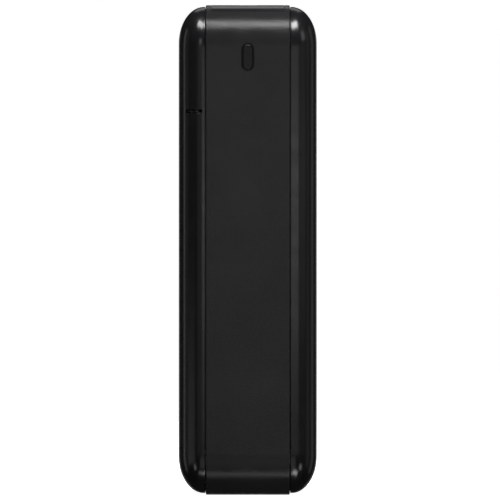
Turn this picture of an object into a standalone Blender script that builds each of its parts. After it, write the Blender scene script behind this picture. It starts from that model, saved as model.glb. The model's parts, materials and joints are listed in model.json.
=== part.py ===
"""Power bank: a thick slab-shaped battery pack with a matte frame, two satin covers and a side button.

The pack stands on its bottom end. +Z runs along its length towards the ports, the button side faces -Y
and the thickness lies along X, with the slotted front cover on the -X side. The origin is the middle of
the bottom end. All sizes are in metres.
"""

import math

import bmesh
import bpy
from mathutils import Matrix, Vector

# Overall sizes: the thickness is the frame's depth, two covers and the gaps between them
LENGTH = 0.142
WIDTH = 0.070
FRAME_DEPTH = 0.0244
COVER_DEPTH = 0.0075

# Clearances
GAP = 0.0003
SLIDE_GAP = 0.00006

# Frame: the matte band round the pack
FRAME_WALL = 0.0019
FRAME_CORNER = 0.0120
FRAME_EDGE = 0.0004

# Covers: satin shells with an elliptic edge
COVER_STEP = 0.0005
COVER_WALL = 0.0018
COVER_FACE_CORNER = 0.0009
COVER_LAND = 0.0002
LIP_THICK = 0.0012
LIP_REACH = 0.0018
LIP_ROOT = 0.0025

# Slot in the front cover and the indicator behind it
SLOT_BELOW_BUTTON = 0.0156
SLOT_HEIGHT = 0.0011
SLOT_START = 0.0007
SLOT_END = 0.0022
SLOT_DEPTH = 0.0110
GUIDE_RECESS = 0.0047
LED_SIZE = 0.0009
LED_COUNT = 3
INDICATOR_BOARD_HEIGHT = 0.0090
SMALL_BOARD_THICK = 0.0010
RIB_THICK = 0.0012
RIB_DEPTH = 0.0026

# Power button and its switch
HOLE_WIDTH = 0.0038
HOLE_LENGTH = 0.0083
HOLE_RISE = 0.00085
BUTTON_SIDE_GAP = 0.00045
BUTTON_SUNK = 0.0001
BUTTON_TRAVEL = 0.00045
BUTTON_FLANGE = 0.0008
BUTTON_FLANGE_LIP = 0.0009
BUTTON_EDGE = 0.0003
SWITCH_SIZE = 0.0045
SWITCH_DEPTH = 0.0020
PLUNGER_RADIUS = 0.0010
PLUNGER_OUT = 0.0008
PLUNGER_IN = 0.0007
BUTTON_BOARD_THICK = 0.0012
BUTTON_BOARD_LENGTH = 0.0124
POST_RADIUS = 0.0018

# Port panel and connectors in the top end
PANEL_THICK = 0.0008
PANEL_MARGIN = 0.0016
PANEL_WRAP_DEG = 33.0
USB_A_WIDTH = 0.0131
USB_A_HEIGHT = 0.0057
USB_A_DEPTH = 0.0140
CONNECTOR_MARGIN = 0.0015
USB_C_WIDTH = 0.00894
USB_C_HEIGHT = 0.00326
USB_C_DEPTH = 0.0090
SHELL_WALL = 0.0003
MOUTH_LIP = 0.0001
PORT_OPENING_MARGIN = 0.0008

# A connector's tongue, as shares of its half height and of its depth
TONGUE_BLADE_SHARE = 0.32
TONGUE_SHIFT_SHARE = 0.28
TONGUE_ROOT_SHARE = 0.26
TONGUE_TIP_SHARE = 0.08
TONGUE_SIDE_GAPS = 2.2

# Boards and screws
BOARD_THICK = 0.0016
BOARD_MARGIN = 0.0073
SCREW_SHANK = 0.0009
SCREW_HOLE = 0.0012
SCREW_PILOT = 0.0010
SCREW_HEAD = 0.0018
SCREW_HEAD_THICK = 0.0011
SCREW_LENGTH = 0.0042
SCREW_INSET = 0.0030
SCREW_DOME_SHARE = 0.65
SCREW_RIM_SHARE = 0.45
BRACKET_HEIGHT = 0.0047
BRACKET_REACH = 0.0055
BOARD_SPACE = 0.0011
INSULATION_THICK = 0.0003
PART_ROW_HALF = 0.0033
CHIP_SIZE = 0.0050
CONTROLLER_THICK = 0.0009
MOSFET_THICK = 0.0011
MOSFET_OFFSETS = (0.0065, -0.0160)
INDUCTOR_OFFSET = -0.0095
INDUCTOR_THICK = 0.0030
INDUCTOR_EDGE = 0.0006
CAPACITOR_OFFSETS = (0.0122, 0.0172)
CAPACITOR_HEIGHT = 0.0050
CAPACITOR_RADIUS = 0.0021
SCREW_SPACE = 0.0017

# Cells
STACK_CLEARANCE = 0.0009
CELL_SIDE_CLEARANCE = 0.0004
CELL_BASE_CLEARANCE = 0.0024
CELL_EDGE = 0.0012
CELL_COUNT = 3
TERRACE_LENGTH = 0.0045
TERRACE_THICK = 0.0010
TAB_WIDTH = 0.0060
TAB_THICK = 0.0003
TAB_LENGTH = 0.0033
TAB_OFFSET = 0.0085
FOAM_THICK = 0.0008
FOAM_MARGIN = 0.0030
OUTER_FOAM_THICK = 0.0004
PROTECTION_WIDTH = 0.0300
PROTECTION_DEPTH = 0.0300
PROTECTION_THICK = 0.0012
PROTECTION_PART_X = 0.0090
GATE_SPREAD = 0.0060
GATE_HALF = (0.0022, 0.0026)
GATE_THICK = 0.0011
THERMISTOR_HALF = (0.0008, 0.0004)
THERMISTOR_THICK = 0.0006

# Leads
LEAD_RADIUS = 0.0007
SIGNAL_RADIUS = 0.0004
LEAD_BEND = 0.0024
LEAD_RISE = 0.0004
LEAD_OFFSET = 0.0045

# Mesh fineness
CORNER_STEPS = 10
EDGE_STEPS = 8
ROUND_STEPS = 20
BEND_STEPS = 5
SMOOTH_ANGLE = math.radians(35.0)

# Places that several pieces share
HALF_LENGTH = LENGTH / 2
HALF_WIDTH = WIDTH / 2
HALF_FRAME = FRAME_DEPTH / 2
SEAM = HALF_FRAME + GAP
HALF_THICKNESS = SEAM + COVER_DEPTH
COVER_EDGE_DEPTH = COVER_DEPTH - COVER_LAND
COVER_CORNER = FRAME_CORNER - COVER_STEP
COVER_EDGE_RUN = COVER_CORNER - COVER_FACE_CORNER
COVER_HALF_WIDTH = HALF_WIDTH - COVER_STEP
COVER_INNER_FACE = HALF_THICKNESS - COVER_WALL
FRAME_INNER_Y = HALF_WIDTH - FRAME_WALL
FRAME_INNER_TOP = LENGTH - FRAME_WALL
BUTTON_Z = LENGTH - FRAME_CORNER + HOLE_RISE - HOLE_LENGTH / 2
SLOT_Z = BUTTON_Z - SLOT_BELOW_BUTTON
SLOT_INNER_X = SEAM + SLOT_START
SLOT_OUTER_X = HALF_THICKNESS - SLOT_END
LED_PITCH = (SLOT_OUTER_X - SLOT_INNER_X) / LED_COUNT
SLOT_MIDDLE_X = (SLOT_INNER_X + SLOT_OUTER_X) / 2
SLOT_BACK_Y = COVER_HALF_WIDTH - SLOT_DEPTH
INDICATOR_FACE = SLOT_BACK_Y - LED_SIZE - 2 * GAP
RIB_INNER_Y = INDICATOR_FACE - (SMALL_BOARD_THICK + RIB_DEPTH) / 2
FLANGE_OUT = FRAME_INNER_Y - GAP
FLANGE_IN = FLANGE_OUT - BUTTON_FLANGE
PLUNGER_TIP = FLANGE_IN - GAP
SWITCH_FACE = PLUNGER_TIP - PLUNGER_OUT
SWITCH_BACK = SWITCH_FACE - SWITCH_DEPTH
BUTTON_BOARD_FACE = SWITCH_BACK - GAP
BUTTON_BOARD_BACK = BUTTON_BOARD_FACE - BUTTON_BOARD_THICK
POST_SPREAD = HALF_FRAME - LIP_REACH - GAP - POST_RADIUS
BUTTON_BOARD_WIDTH = 2 * (POST_SPREAD + POST_RADIUS - GAP)
PANEL_HALF_X = HALF_FRAME - PANEL_MARGIN
PANEL_HALF_Y = HALF_WIDTH - FRAME_CORNER + FRAME_CORNER * math.sin(math.radians(PANEL_WRAP_DEG))
BOARD_TOP_X = -USB_A_HEIGHT / 2 - GAP
BOARD_BACK_X = BOARD_TOP_X - BOARD_THICK
BOARD_HALF_Y = FRAME_INNER_Y - BOARD_MARGIN
INNER_CORNER = FRAME_CORNER - FRAME_WALL
BOARD_PAST_BEND = BOARD_HALF_Y - HALF_WIDTH + FRAME_CORNER
BOARD_CORNER_DROP = INNER_CORNER - math.sqrt(INNER_CORNER ** 2 - BOARD_PAST_BEND ** 2)
BOARD_HIGH_Z = FRAME_INNER_TOP - BOARD_CORNER_DROP - 2 * GAP
USB_A_OFFSET = BOARD_HALF_Y - CONNECTOR_MARGIN - USB_A_WIDTH / 2
PANEL_CORNER = FRAME_CORNER - PANEL_THICK
MOUTH_PAST_BEND = BOARD_PAST_BEND - CONNECTOR_MARGIN
MOUTH_DROP = PANEL_CORNER - math.sqrt(PANEL_CORNER ** 2 - MOUTH_PAST_BEND ** 2)
MOUTH_Z = LENGTH - PANEL_THICK - GAP - MOUTH_DROP
USB_A_LOW_Z = MOUTH_Z - USB_A_DEPTH
SIGNAL_LEAD_Z = USB_A_LOW_Z - GAP - SIGNAL_RADIUS
PART_ROW_Z = SIGNAL_LEAD_Z - SIGNAL_RADIUS - GAP - PART_ROW_HALF
SCREW_Z = PART_ROW_Z - PART_ROW_HALF - SCREW_SPACE - SCREW_HEAD
BRACKET_LOW_Z = SCREW_Z - BRACKET_HEIGHT / 2
BOARD_LOW_Z = BRACKET_LOW_Z - GAP
SCREW_Y = BOARD_HALF_Y - SCREW_INSET
BRACKET_TOP_X = BOARD_BACK_X - GAP
BRACKET_BACK_X = -(HALF_FRAME - LIP_REACH - GAP)
CELL_SPACING = FOAM_THICK + 2 * GAP
STACK_THICK = 2 * (COVER_INNER_FACE - STACK_CLEARANCE)
CELL_THICK = (STACK_THICK - (CELL_COUNT - 1) * CELL_SPACING) / CELL_COUNT
CELL_PITCH = CELL_THICK + CELL_SPACING
STACK_RISE = (STACK_THICK / 2 - HALF_THICKNESS + COVER_EDGE_DEPTH) / (COVER_EDGE_DEPTH - COVER_WALL)
STACK_REACH = (COVER_EDGE_RUN - COVER_WALL) * math.sqrt(1 - STACK_RISE ** 2)
CELL_HALF_Y = COVER_HALF_WIDTH - COVER_EDGE_RUN + STACK_REACH - CELL_SIDE_CLEARANCE
CELL_BASE = COVER_STEP + COVER_EDGE_RUN - STACK_REACH + CELL_BASE_CLEARANCE
PROTECTION_HIGH_Z = BOARD_LOW_Z - BOARD_SPACE
PROTECTION_LOW_Z = PROTECTION_HIGH_Z - PROTECTION_THICK
TAB_TOP = PROTECTION_LOW_Z - GAP
TERRACE_TOP = TAB_TOP - TAB_LENGTH - GAP
CELL_TOP = TERRACE_TOP - TERRACE_LENGTH

# Turns that lay a flat outline, drawn in its own XY plane, across one of the pack's axes
ACROSS_X = Matrix(((0, 0, 1), (1, 0, 0), (0, 1, 0)))
ACROSS_Y = Matrix(((1, 0, 0), (0, 0, -1), (0, 1, 0)))
ACROSS_Z = Matrix.Identity(3)

# Colour, roughness and metallic value of each material
FINISHES = {
    "frame_plastic": ((0.024, 0.024, 0.025, 1.0), 0.52, 0.0),
    "cover_plastic": ((0.012, 0.012, 0.013, 1.0), 0.22, 0.0),
    "button_plastic": ((0.016, 0.016, 0.017, 1.0), 0.35, 0.0),
    "panel_plastic": ((0.014, 0.014, 0.015, 1.0), 0.18, 0.0),
    "smoked_guide": ((0.010, 0.010, 0.012, 1.0), 0.10, 0.0),
    "led_resin": ((0.85, 0.86, 0.80, 1.0), 0.30, 0.0),
    "circuit_board": ((0.02, 0.12, 0.05, 1.0), 0.40, 0.0),
    "connector_steel": ((0.62, 0.62, 0.63, 1.0), 0.28, 1.0),
    "connector_tongue": ((0.02, 0.02, 0.02, 1.0), 0.45, 0.0),
    "chip_resin": ((0.02, 0.02, 0.02, 1.0), 0.55, 0.0),
    "inductor_ferrite": ((0.09, 0.09, 0.10, 1.0), 0.70, 0.0),
    "capacitor_can": ((0.72, 0.72, 0.74, 1.0), 0.30, 1.0),
    "cell_foil": ((0.66, 0.67, 0.70, 1.0), 0.38, 1.0),
    "tab_metal": ((0.60, 0.58, 0.55, 1.0), 0.35, 1.0),
    "foam": ((0.10, 0.10, 0.11, 1.0), 0.95, 0.0),
    "insulation_paper": ((0.05, 0.06, 0.09, 1.0), 0.85, 0.0),
    "lead_red": ((0.55, 0.02, 0.02, 1.0), 0.45, 0.0),
    "lead_black": ((0.02, 0.02, 0.02, 1.0), 0.45, 0.0),
    "screw_steel": ((0.45, 0.45, 0.46, 1.0), 0.30, 1.0),
    "switch_resin": ((0.05, 0.05, 0.06, 1.0), 0.50, 0.0),
}


def clear_scene():
    """Remove whatever the scene holds."""
    for thing in list(bpy.data.objects):
        bpy.data.objects.remove(thing, do_unlink=True)


def new_collection(name):
    """Add a collection to the scene."""
    collection = bpy.data.collections.new(name)
    bpy.context.scene.collection.children.link(collection)
    return collection


def new_material(name, colour, roughness, metallic):
    """Make a Principled material."""
    material = bpy.data.materials.new(name)
    material.use_nodes = True
    shader = material.node_tree.nodes["Principled BSDF"]
    shader.inputs["Base Color"].default_value = colour
    shader.inputs["Roughness"].default_value = roughness
    shader.inputs["Metallic"].default_value = metallic
    material.diffuse_color = colour
    return material


clear_scene()
PARTS = new_collection("power_bank")
CUTTERS = new_collection("cutters")
MATERIALS = {name: new_material(name, *values) for name, values in FINISHES.items()}


def add_object(name, mesh, material=None):
    """Put a mesh in the scene: a part when it has a material, a hidden tool when it has none."""
    thing = bpy.data.objects.new(name, mesh)
    if material is None:
        CUTTERS.objects.link(thing)
        thing.hide_render = True
        thing.display_type = "WIRE"
    else:
        PARTS.objects.link(thing)
        mesh.materials.append(MATERIALS[material])
    return thing


def finish_bmesh(bm, name):
    """Turn a bmesh into a mesh."""
    mesh = bpy.data.meshes.new(name)
    bm.to_mesh(mesh)
    bm.free()
    return mesh


def smooth(thing):
    """Shade a round piece smooth, with its true corners kept sharp."""
    thing.data.shade_smooth()
    thing.data.set_sharp_from_angle(angle=SMOOTH_ANGLE)
    return thing


def block(name, low, high, material=None):
    """A box between two opposite corners."""
    low = Vector(low)
    high = Vector(high)
    bm = bmesh.new()
    bmesh.ops.create_cube(bm, size=1.0)
    bmesh.ops.scale(bm, vec=high - low, verts=bm.verts)
    thing = add_object(name, finish_bmesh(bm, name), material)
    thing.location = (low + high) / 2
    return thing


def rod(name, centre, radius, depth, turn, material=None):
    """A cylinder along one of the pack's axes."""
    bm = bmesh.new()
    bmesh.ops.create_cone(
        bm, cap_ends=True, segments=ROUND_STEPS, radius1=radius, radius2=radius, depth=depth
    )
    thing = add_object(name, finish_bmesh(bm, name), material)
    thing.matrix_world = Matrix.Translation(centre) @ turn.to_4x4()
    return smooth(thing)


def round_edges(thing, width, segments=2):
    """Round a piece's edges with a Bevel modifier."""
    bevel = thing.modifiers.new("edges", "BEVEL")
    bevel.width = width
    bevel.segments = segments
    bevel.limit_method = "ANGLE"
    return thing


def combine(thing, tool, operation):
    """Cut a tool out of a piece, join it on, or keep only what both hold."""
    boolean = thing.modifiers.new(tool.name, "BOOLEAN")
    boolean.operation = operation
    boolean.solver = "EXACT"
    boolean.object = tool


def rounded_rectangle(half_x, low_y, high_y, radius):
    """Outline points of a rounded rectangle that is centred on x = 0."""
    corners = (
        (half_x - radius, high_y - radius, 0.0),
        (radius - half_x, high_y - radius, 90.0),
        (radius - half_x, low_y + radius, 180.0),
        (half_x - radius, low_y + radius, 270.0),
    )
    points = []
    for centre_x, centre_y, start in corners:
        for step in range(CORNER_STEPS + 1):
            angle = math.radians(start + 90.0 * step / CORNER_STEPS)
            point = Vector((centre_x + radius * math.cos(angle), centre_y + radius * math.sin(angle)))
            if not points or (point - points[-1]).length > SLIDE_GAP / 10:
                points.append(point)
    if (points[0] - points[-1]).length < SLIDE_GAP / 10:
        points.pop()
    return points


def moved(points, x, y):
    """The same outline in another place."""
    return [point + Vector((x, y)) for point in points]


def circle(x, y, radius):
    """Outline points of a circle."""
    angles = [2 * math.pi * step / ROUND_STEPS for step in range(ROUND_STEPS)]
    return [Vector((x + radius * math.cos(a), y + radius * math.sin(a))) for a in angles]


def slab(name, loops, low, high, turn, material=None):
    """A flat outline, with any holes, given its thickness between two places along its axis."""
    curve = bpy.data.curves.new(name + "_outline", "CURVE")
    curve.dimensions = "2D"
    curve.fill_mode = "BOTH"
    curve.extrude = (high - low) / 2
    for loop in loops:
        spline = curve.splines.new("POLY")
        spline.points.add(len(loop) - 1)
        for spot, point in zip(spline.points, loop):
            spot.co = (point[0], point[1], 0.0, 1.0)
        spline.use_cyclic_u = True
    drawing = bpy.data.objects.new(name + "_outline", curve)
    CUTTERS.objects.link(drawing)
    drawing.matrix_world = Matrix.Translation(turn @ Vector((0, 0, 1)) * (low + high) / 2) @ turn.to_4x4()
    thing = add_object(name, welded_mesh(drawing, name), material)
    thing.matrix_world = drawing.matrix_world
    bpy.data.objects.remove(drawing, do_unlink=True)
    return smooth(thing)


def welded_mesh(drawing, name):
    """The mesh of a curve, with its caps joined on."""
    bpy.context.view_layer.update()
    evaluated = drawing.evaluated_get(bpy.context.evaluated_depsgraph_get())
    mesh = bpy.data.meshes.new_from_object(evaluated)
    bm = bmesh.new()
    bm.from_mesh(mesh)
    bmesh.ops.remove_doubles(bm, verts=bm.verts, dist=SLIDE_GAP / 20)
    bmesh.ops.recalc_face_normals(bm, faces=bm.faces)
    bm.to_mesh(mesh)
    bm.free()
    mesh.name = name
    mesh.materials.clear()
    return mesh


def turned(name, profile, place, turn, material):
    """A turned piece: a profile of radius and height, top to bottom, spun about its own axis."""
    mesh = bpy.data.meshes.new(name)
    bm = bmesh.new()
    spots = [bm.verts.new((radius, 0.0, height)) for radius, height in profile]
    for upper, lower in zip(spots, spots[1:]):
        bm.edges.new((upper, lower))
    bm.to_mesh(mesh)
    bm.free()
    thing = add_object(name, mesh, material)
    spin = thing.modifiers.new("spin", "SCREW")
    spin.steps = ROUND_STEPS
    spin.render_steps = ROUND_STEPS
    spin.use_merge_vertices = True
    spin.merge_threshold = SLIDE_GAP / 10
    thing.matrix_world = Matrix.Translation(place) @ turn.to_4x4()
    return thing


def wire(name, points, radius, material):
    """A lead of round section along a list of points, as a closed mesh."""
    curve = bpy.data.curves.new(name + "_path", "CURVE")
    curve.dimensions = "3D"
    curve.bevel_depth = radius
    curve.bevel_resolution = 2
    curve.use_fill_caps = True
    spline = curve.splines.new("POLY")
    spline.points.add(len(points) - 1)
    for spot, point in zip(spline.points, points):
        spot.co = (*point, 1.0)
    drawing = bpy.data.objects.new(name + "_path", curve)
    CUTTERS.objects.link(drawing)
    thing = add_object(name, welded_mesh(drawing, name), material)
    bpy.data.objects.remove(drawing, do_unlink=True)
    return smooth(thing)


def frame_outline(inset):
    """The frame's outline in the YZ plane, moved in from its outer surface."""
    return rounded_rectangle(HALF_WIDTH - inset, inset, LENGTH - inset, FRAME_CORNER - inset)


def stadium(width, length, z):
    """A round-ended outline in the XZ plane, centred at a height."""
    return moved(rounded_rectangle(width / 2, -length / 2, length / 2, width / 2), 0.0, z)


def port_outline(half_x, half_y, corner, x, y):
    """A port's outline in the XY plane."""
    return moved(rounded_rectangle(half_x, -half_y, half_y, min(corner, half_x)), x, y)


def soften_rim(thing, half_depth, width):
    """Round the long outer edges of the frame's ring."""
    bm = bmesh.new()
    bm.from_mesh(thing.data)
    rim = []
    for edge in bm.edges:
        ends = [vert.co for vert in edge.verts]
        flat = all(abs(abs(co.z) - half_depth) < SLIDE_GAP for co in ends)
        folded = len(edge.link_faces) == 2 and edge.calc_face_angle() > SMOOTH_ANGLE
        outer = all(is_on_frame_surface(co) for co in ends)
        if flat and folded and outer:
            rim.append(edge)
    bmesh.ops.bevel(
        bm, geom=rim, offset=width, offset_type="OFFSET", segments=2, profile=0.5, affect="EDGES",
        material=-1,
    )
    bm.to_mesh(thing.data)
    bm.free()
    smooth(thing)


def is_on_frame_surface(co):
    """Whether a point of the frame's outline lies on its outer surface."""
    across = max(abs(co.x) - (HALF_WIDTH - FRAME_CORNER), 0.0)
    along = max(abs(co.y - HALF_LENGTH) - (HALF_LENGTH - FRAME_CORNER), 0.0)
    return math.hypot(across, along) > FRAME_CORNER - FRAME_WALL / 2


def make_frame():
    """The band round the pack, with its brackets and posts, and openings for the ports and the button."""
    frame = slab(
        "mid_frame", [frame_outline(0.0), frame_outline(FRAME_WALL)], -HALF_FRAME, HALF_FRAME,
        ACROSS_X, "frame_plastic",
    )
    soften_rim(frame, HALF_FRAME, FRAME_EDGE)
    for side in (-1, 1):
        inner_y = BOARD_HALF_Y - BRACKET_REACH
        outer_y = HALF_WIDTH - FRAME_WALL / 2
        bracket = block(
            f"bracket_{side}",
            (BRACKET_BACK_X, min(side * inner_y, side * outer_y), BRACKET_LOW_Z),
            (BRACKET_TOP_X, max(side * inner_y, side * outer_y), BRACKET_LOW_Z + BRACKET_HEIGHT),
        )
        combine(frame, bracket, "UNION")
        post_length = HALF_WIDTH - FRAME_WALL / 2 - BUTTON_BOARD_FACE - GAP
        post_y = -(BUTTON_BOARD_FACE + GAP + post_length / 2)
        post = rod(f"post_{side}", (side * POST_SPREAD, post_y, BUTTON_Z), POST_RADIUS, post_length, ACROSS_Y)
        combine(frame, post, "UNION")
    for side in (-1, 1):
        pilot = rod(
            f"pilot_{side}", (BRACKET_TOP_X, side * SCREW_Y, SCREW_Z), SCREW_PILOT,
            2 * (SCREW_LENGTH - BOARD_THICK), ACROSS_X,
        )
        combine(frame, pilot, "DIFFERENCE")
        post_pilot = rod(
            f"post_pilot_{side}", (side * POST_SPREAD, -(BUTTON_BOARD_FACE + GAP), BUTTON_Z), SCREW_PILOT,
            2 * (SCREW_LENGTH - BUTTON_BOARD_THICK), ACROSS_Y,
        )
        combine(frame, post_pilot, "DIFFERENCE")
    hole = slab(
        "button_hole", [stadium(HOLE_WIDTH, HOLE_LENGTH, BUTTON_Z)],
        FRAME_INNER_Y - GAP, HALF_WIDTH + GAP, ACROSS_Y,
    )
    combine(frame, hole, "DIFFERENCE")
    combine(frame, panel_strip("panel_pocket", PANEL_THICK + GAP, GAP), "DIFFERENCE")
    opening_half_x = USB_A_HEIGHT / 2 + PORT_OPENING_MARGIN
    opening_half_y = USB_A_OFFSET + USB_A_WIDTH / 2 + PORT_OPENING_MARGIN
    opening = block(
        "port_opening", (-opening_half_x, -opening_half_y, FRAME_INNER_TOP - FRAME_WALL),
        (opening_half_x, opening_half_y, LENGTH + GAP),
    )
    combine(frame, opening, "DIFFERENCE")


def panel_strip(name, thickness, clearance, material=None):
    """The strip of the frame's outer skin that the port panel fills, a little larger for its pocket."""
    skin = frame_outline(-clearance if material is None else 0.0)
    strip = slab(
        name, [skin, frame_outline(thickness)], -(PANEL_HALF_X + clearance), PANEL_HALF_X + clearance,
        ACROSS_X, material,
    )
    reach = block(
        name + "_reach", (-HALF_FRAME, -(PANEL_HALF_Y + clearance), HALF_LENGTH),
        (HALF_FRAME, PANEL_HALF_Y + clearance, LENGTH + HALF_FRAME),
    )
    combine(strip, reach, "INTERSECT")
    return strip


def make_port_panel():
    """The smooth panel let into the top end, with one mouth for each connector."""
    panel = panel_strip("port_panel", PANEL_THICK, 0.0, "panel_plastic")
    for number, (half_x, half_y, corner, x, y, _, _) in enumerate(ports(), start=1):
        inset = SHELL_WALL - MOUTH_LIP
        mouth = slab(
            f"mouth_{number}", [port_outline(half_x - inset, half_y - inset, corner - inset / 2, x, y)],
            LENGTH - 2 * PANEL_THICK, LENGTH + GAP, ACROSS_Z,
        )
        combine(panel, mouth, "DIFFERENCE")


def ports():
    """Each connector: half height, half width, corner radius, place in X and Y, depth and name."""
    usb_a = (USB_A_HEIGHT / 2, USB_A_WIDTH / 2, SHELL_WALL * 2, 0.0)
    usb_c_x = BOARD_TOP_X + GAP + USB_C_HEIGHT / 2
    return (
        (*usb_a, -USB_A_OFFSET, USB_A_DEPTH, "usb_a_1"),
        (*usb_a, USB_A_OFFSET, USB_A_DEPTH, "usb_a_2"),
        (
            USB_C_HEIGHT / 2, USB_C_WIDTH / 2, USB_C_HEIGHT / 2, usb_c_x, 0.0, USB_C_DEPTH, "usb_c",
        ),
    )


def make_connectors():
    """The steel shell of each connector and the plastic tongue inside it."""
    for half_x, half_y, corner, x, y, depth, name in ports():
        outer = port_outline(half_x, half_y, corner, x, y)
        inner = port_outline(half_x - SHELL_WALL, half_y - SHELL_WALL, corner - SHELL_WALL / 2, x, y)
        slab(f"{name}_shell", [outer, inner], MOUTH_Z - depth, MOUTH_Z, ACROSS_Z, "connector_steel")
        make_tongue(f"{name}_tongue", half_x, half_y, x, y, depth)


def make_tongue(name, half_x, half_y, x, y, depth):
    """A connector's tongue with its root block, drawn from the side."""
    root = half_x - SHELL_WALL - GAP / 2
    blade = half_x * TONGUE_BLADE_SHARE
    blade_x = 0.0 if half_y < USB_A_WIDTH / 3 else half_x * TONGUE_SHIFT_SHARE
    width = half_y - SHELL_WALL - GAP * TONGUE_SIDE_GAPS
    low = MOUTH_Z - depth + GAP
    step = low + depth * TONGUE_ROOT_SHARE
    tip = MOUTH_Z - depth * TONGUE_TIP_SHARE
    side_view = [
        Vector((x - root, low)), Vector((x + root, low)), Vector((x + root, step)),
        Vector((x + blade_x + blade, step)), Vector((x + blade_x + blade, tip)),
        Vector((x + blade_x - blade, tip)), Vector((x + blade_x - blade, step)), Vector((x - root, step)),
    ]
    slab(name, [side_view], -(y + width), -(y - width), ACROSS_Y, "connector_tongue")


def cover_skin(name, material):
    """The open outer skin of a cover, its face at -X, squeezed while its elliptic edge is rounded."""
    squeeze = COVER_EDGE_DEPTH / COVER_EDGE_RUN
    height = LENGTH - 2 * COVER_STEP
    bm = bmesh.new()
    bmesh.ops.create_cube(bm, size=1.0)
    size = Vector((COVER_DEPTH, 2 * COVER_HALF_WIDTH * squeeze, height * squeeze))
    bmesh.ops.scale(bm, vec=size, verts=bm.verts)
    uprights = [edge for edge in bm.edges if abs(edge.verts[0].co.x - edge.verts[1].co.x) > COVER_DEPTH / 2]
    bmesh.ops.bevel(
        bm, geom=uprights, offset=COVER_CORNER * squeeze, offset_type="OFFSET", segments=CORNER_STEPS,
        profile=0.5, affect="EDGES", material=-1,
    )
    rim = [
        edge for edge in bm.edges
        if all(vert.co.x < -COVER_DEPTH / 2 + SLIDE_GAP for vert in edge.verts)
    ]
    bmesh.ops.bevel(
        bm, geom=rim, offset=COVER_EDGE_DEPTH, offset_type="OFFSET", segments=EDGE_STEPS, profile=0.5,
        affect="EDGES", material=-1,
    )
    seam = [face for face in bm.faces if all(v.co.x > COVER_DEPTH / 2 - SLIDE_GAP for v in face.verts)]
    bmesh.ops.delete(bm, geom=seam, context="FACES")
    bmesh.ops.scale(bm, vec=(1.0, 1.0 / squeeze, 1.0 / squeeze), verts=bm.verts)
    cover = add_object(name, finish_bmesh(bm, name), material)
    wall = cover.modifiers.new("wall", "SOLIDIFY")
    wall.thickness = COVER_WALL
    wall.offset = -1.0
    wall.use_even_offset = True
    cover.location = (-(SEAM + COVER_DEPTH / 2), 0.0, HALF_LENGTH)
    return smooth(cover)


def add_lips(cover, name, side):
    """Join the locating lips that reach from a cover into the frame, one along each straight side."""
    low_x, high_x = sorted((side * (SEAM + LIP_ROOT), side * (HALF_FRAME - LIP_REACH)))
    outer = FRAME_WALL + GAP
    inner = outer + LIP_THICK
    bend = FRAME_CORNER + LIP_THICK
    for number, (low_y, high_y, low_z, high_z) in enumerate((
        (-HALF_WIDTH + outer, -HALF_WIDTH + inner, bend, LENGTH - bend),
        (HALF_WIDTH - inner, HALF_WIDTH - outer, bend, LENGTH - bend),
        (-HALF_WIDTH + bend, HALF_WIDTH - bend, outer, inner),
        (-HALF_WIDTH + bend, HALF_WIDTH - bend, LENGTH - inner, LENGTH - outer),
    ), start=1):
        lip = block(f"{name}_{number}", (low_x, low_y, low_z), (high_x, high_y, high_z))
        combine(cover, lip, "UNION")


def make_covers():
    """The two shells that close the frame, the front one with its slot and the ribs of its board."""
    front = cover_skin("front_cover", "cover_plastic")
    rear = cover_skin("rear_cover", "cover_plastic")
    rear.location.x = SEAM + COVER_DEPTH / 2
    rear.rotation_euler.z = math.pi
    add_lips(front, "front_lip", -1)
    add_lips(rear, "rear_lip", 1)
    half_board = INDICATOR_BOARD_HEIGHT / 2 + GAP
    for number, side in enumerate((-1, 1), start=1):
        ends = sorted((SLOT_Z + side * half_board, SLOT_Z + side * (half_board + RIB_THICK)))
        rib = block(
            f"indicator_rib_{number}",
            (-(COVER_INNER_FACE + COVER_WALL / 2), -(RIB_INNER_Y + RIB_DEPTH), ends[0]),
            (-SLOT_INNER_X, -RIB_INNER_Y, ends[1]),
        )
        combine(front, rib, "UNION")
    slot = block(
        "slot", (-SLOT_OUTER_X, -HALF_WIDTH, SLOT_Z - SLOT_HEIGHT / 2),
        (-SLOT_INNER_X, -SLOT_BACK_Y, SLOT_Z + SLOT_HEIGHT / 2),
    )
    combine(front, slot, "DIFFERENCE")


def make_indicator():
    """The smoked light guide in the slot, its diodes and their board."""
    half = SLOT_HEIGHT / 2 - GAP / 2
    block(
        "light_guide", (-(SLOT_OUTER_X - GAP), -(COVER_HALF_WIDTH - GUIDE_RECESS), SLOT_Z - half),
        (-(SLOT_INNER_X + GAP), -(SLOT_BACK_Y + GAP), SLOT_Z + half), "smoked_guide",
    )
    for number in range(LED_COUNT):
        x = -SLOT_MIDDLE_X + (number - (LED_COUNT - 1) / 2) * LED_PITCH
        block(
            f"status_led_{number + 1}",
            (x - LED_SIZE / 2, -(INDICATOR_FACE + GAP + LED_SIZE), SLOT_Z - LED_SIZE / 2),
            (x + LED_SIZE / 2, -(INDICATOR_FACE + GAP), SLOT_Z + LED_SIZE / 2), "led_resin",
        )
    half_board = INDICATOR_BOARD_HEIGHT / 2
    block(
        "indicator_board", (-(COVER_INNER_FACE - 2 * GAP), -INDICATOR_FACE, SLOT_Z - half_board),
        (-SEAM, -(INDICATOR_FACE - SMALL_BOARD_THICK), SLOT_Z + half_board), "circuit_board",
    )


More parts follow.
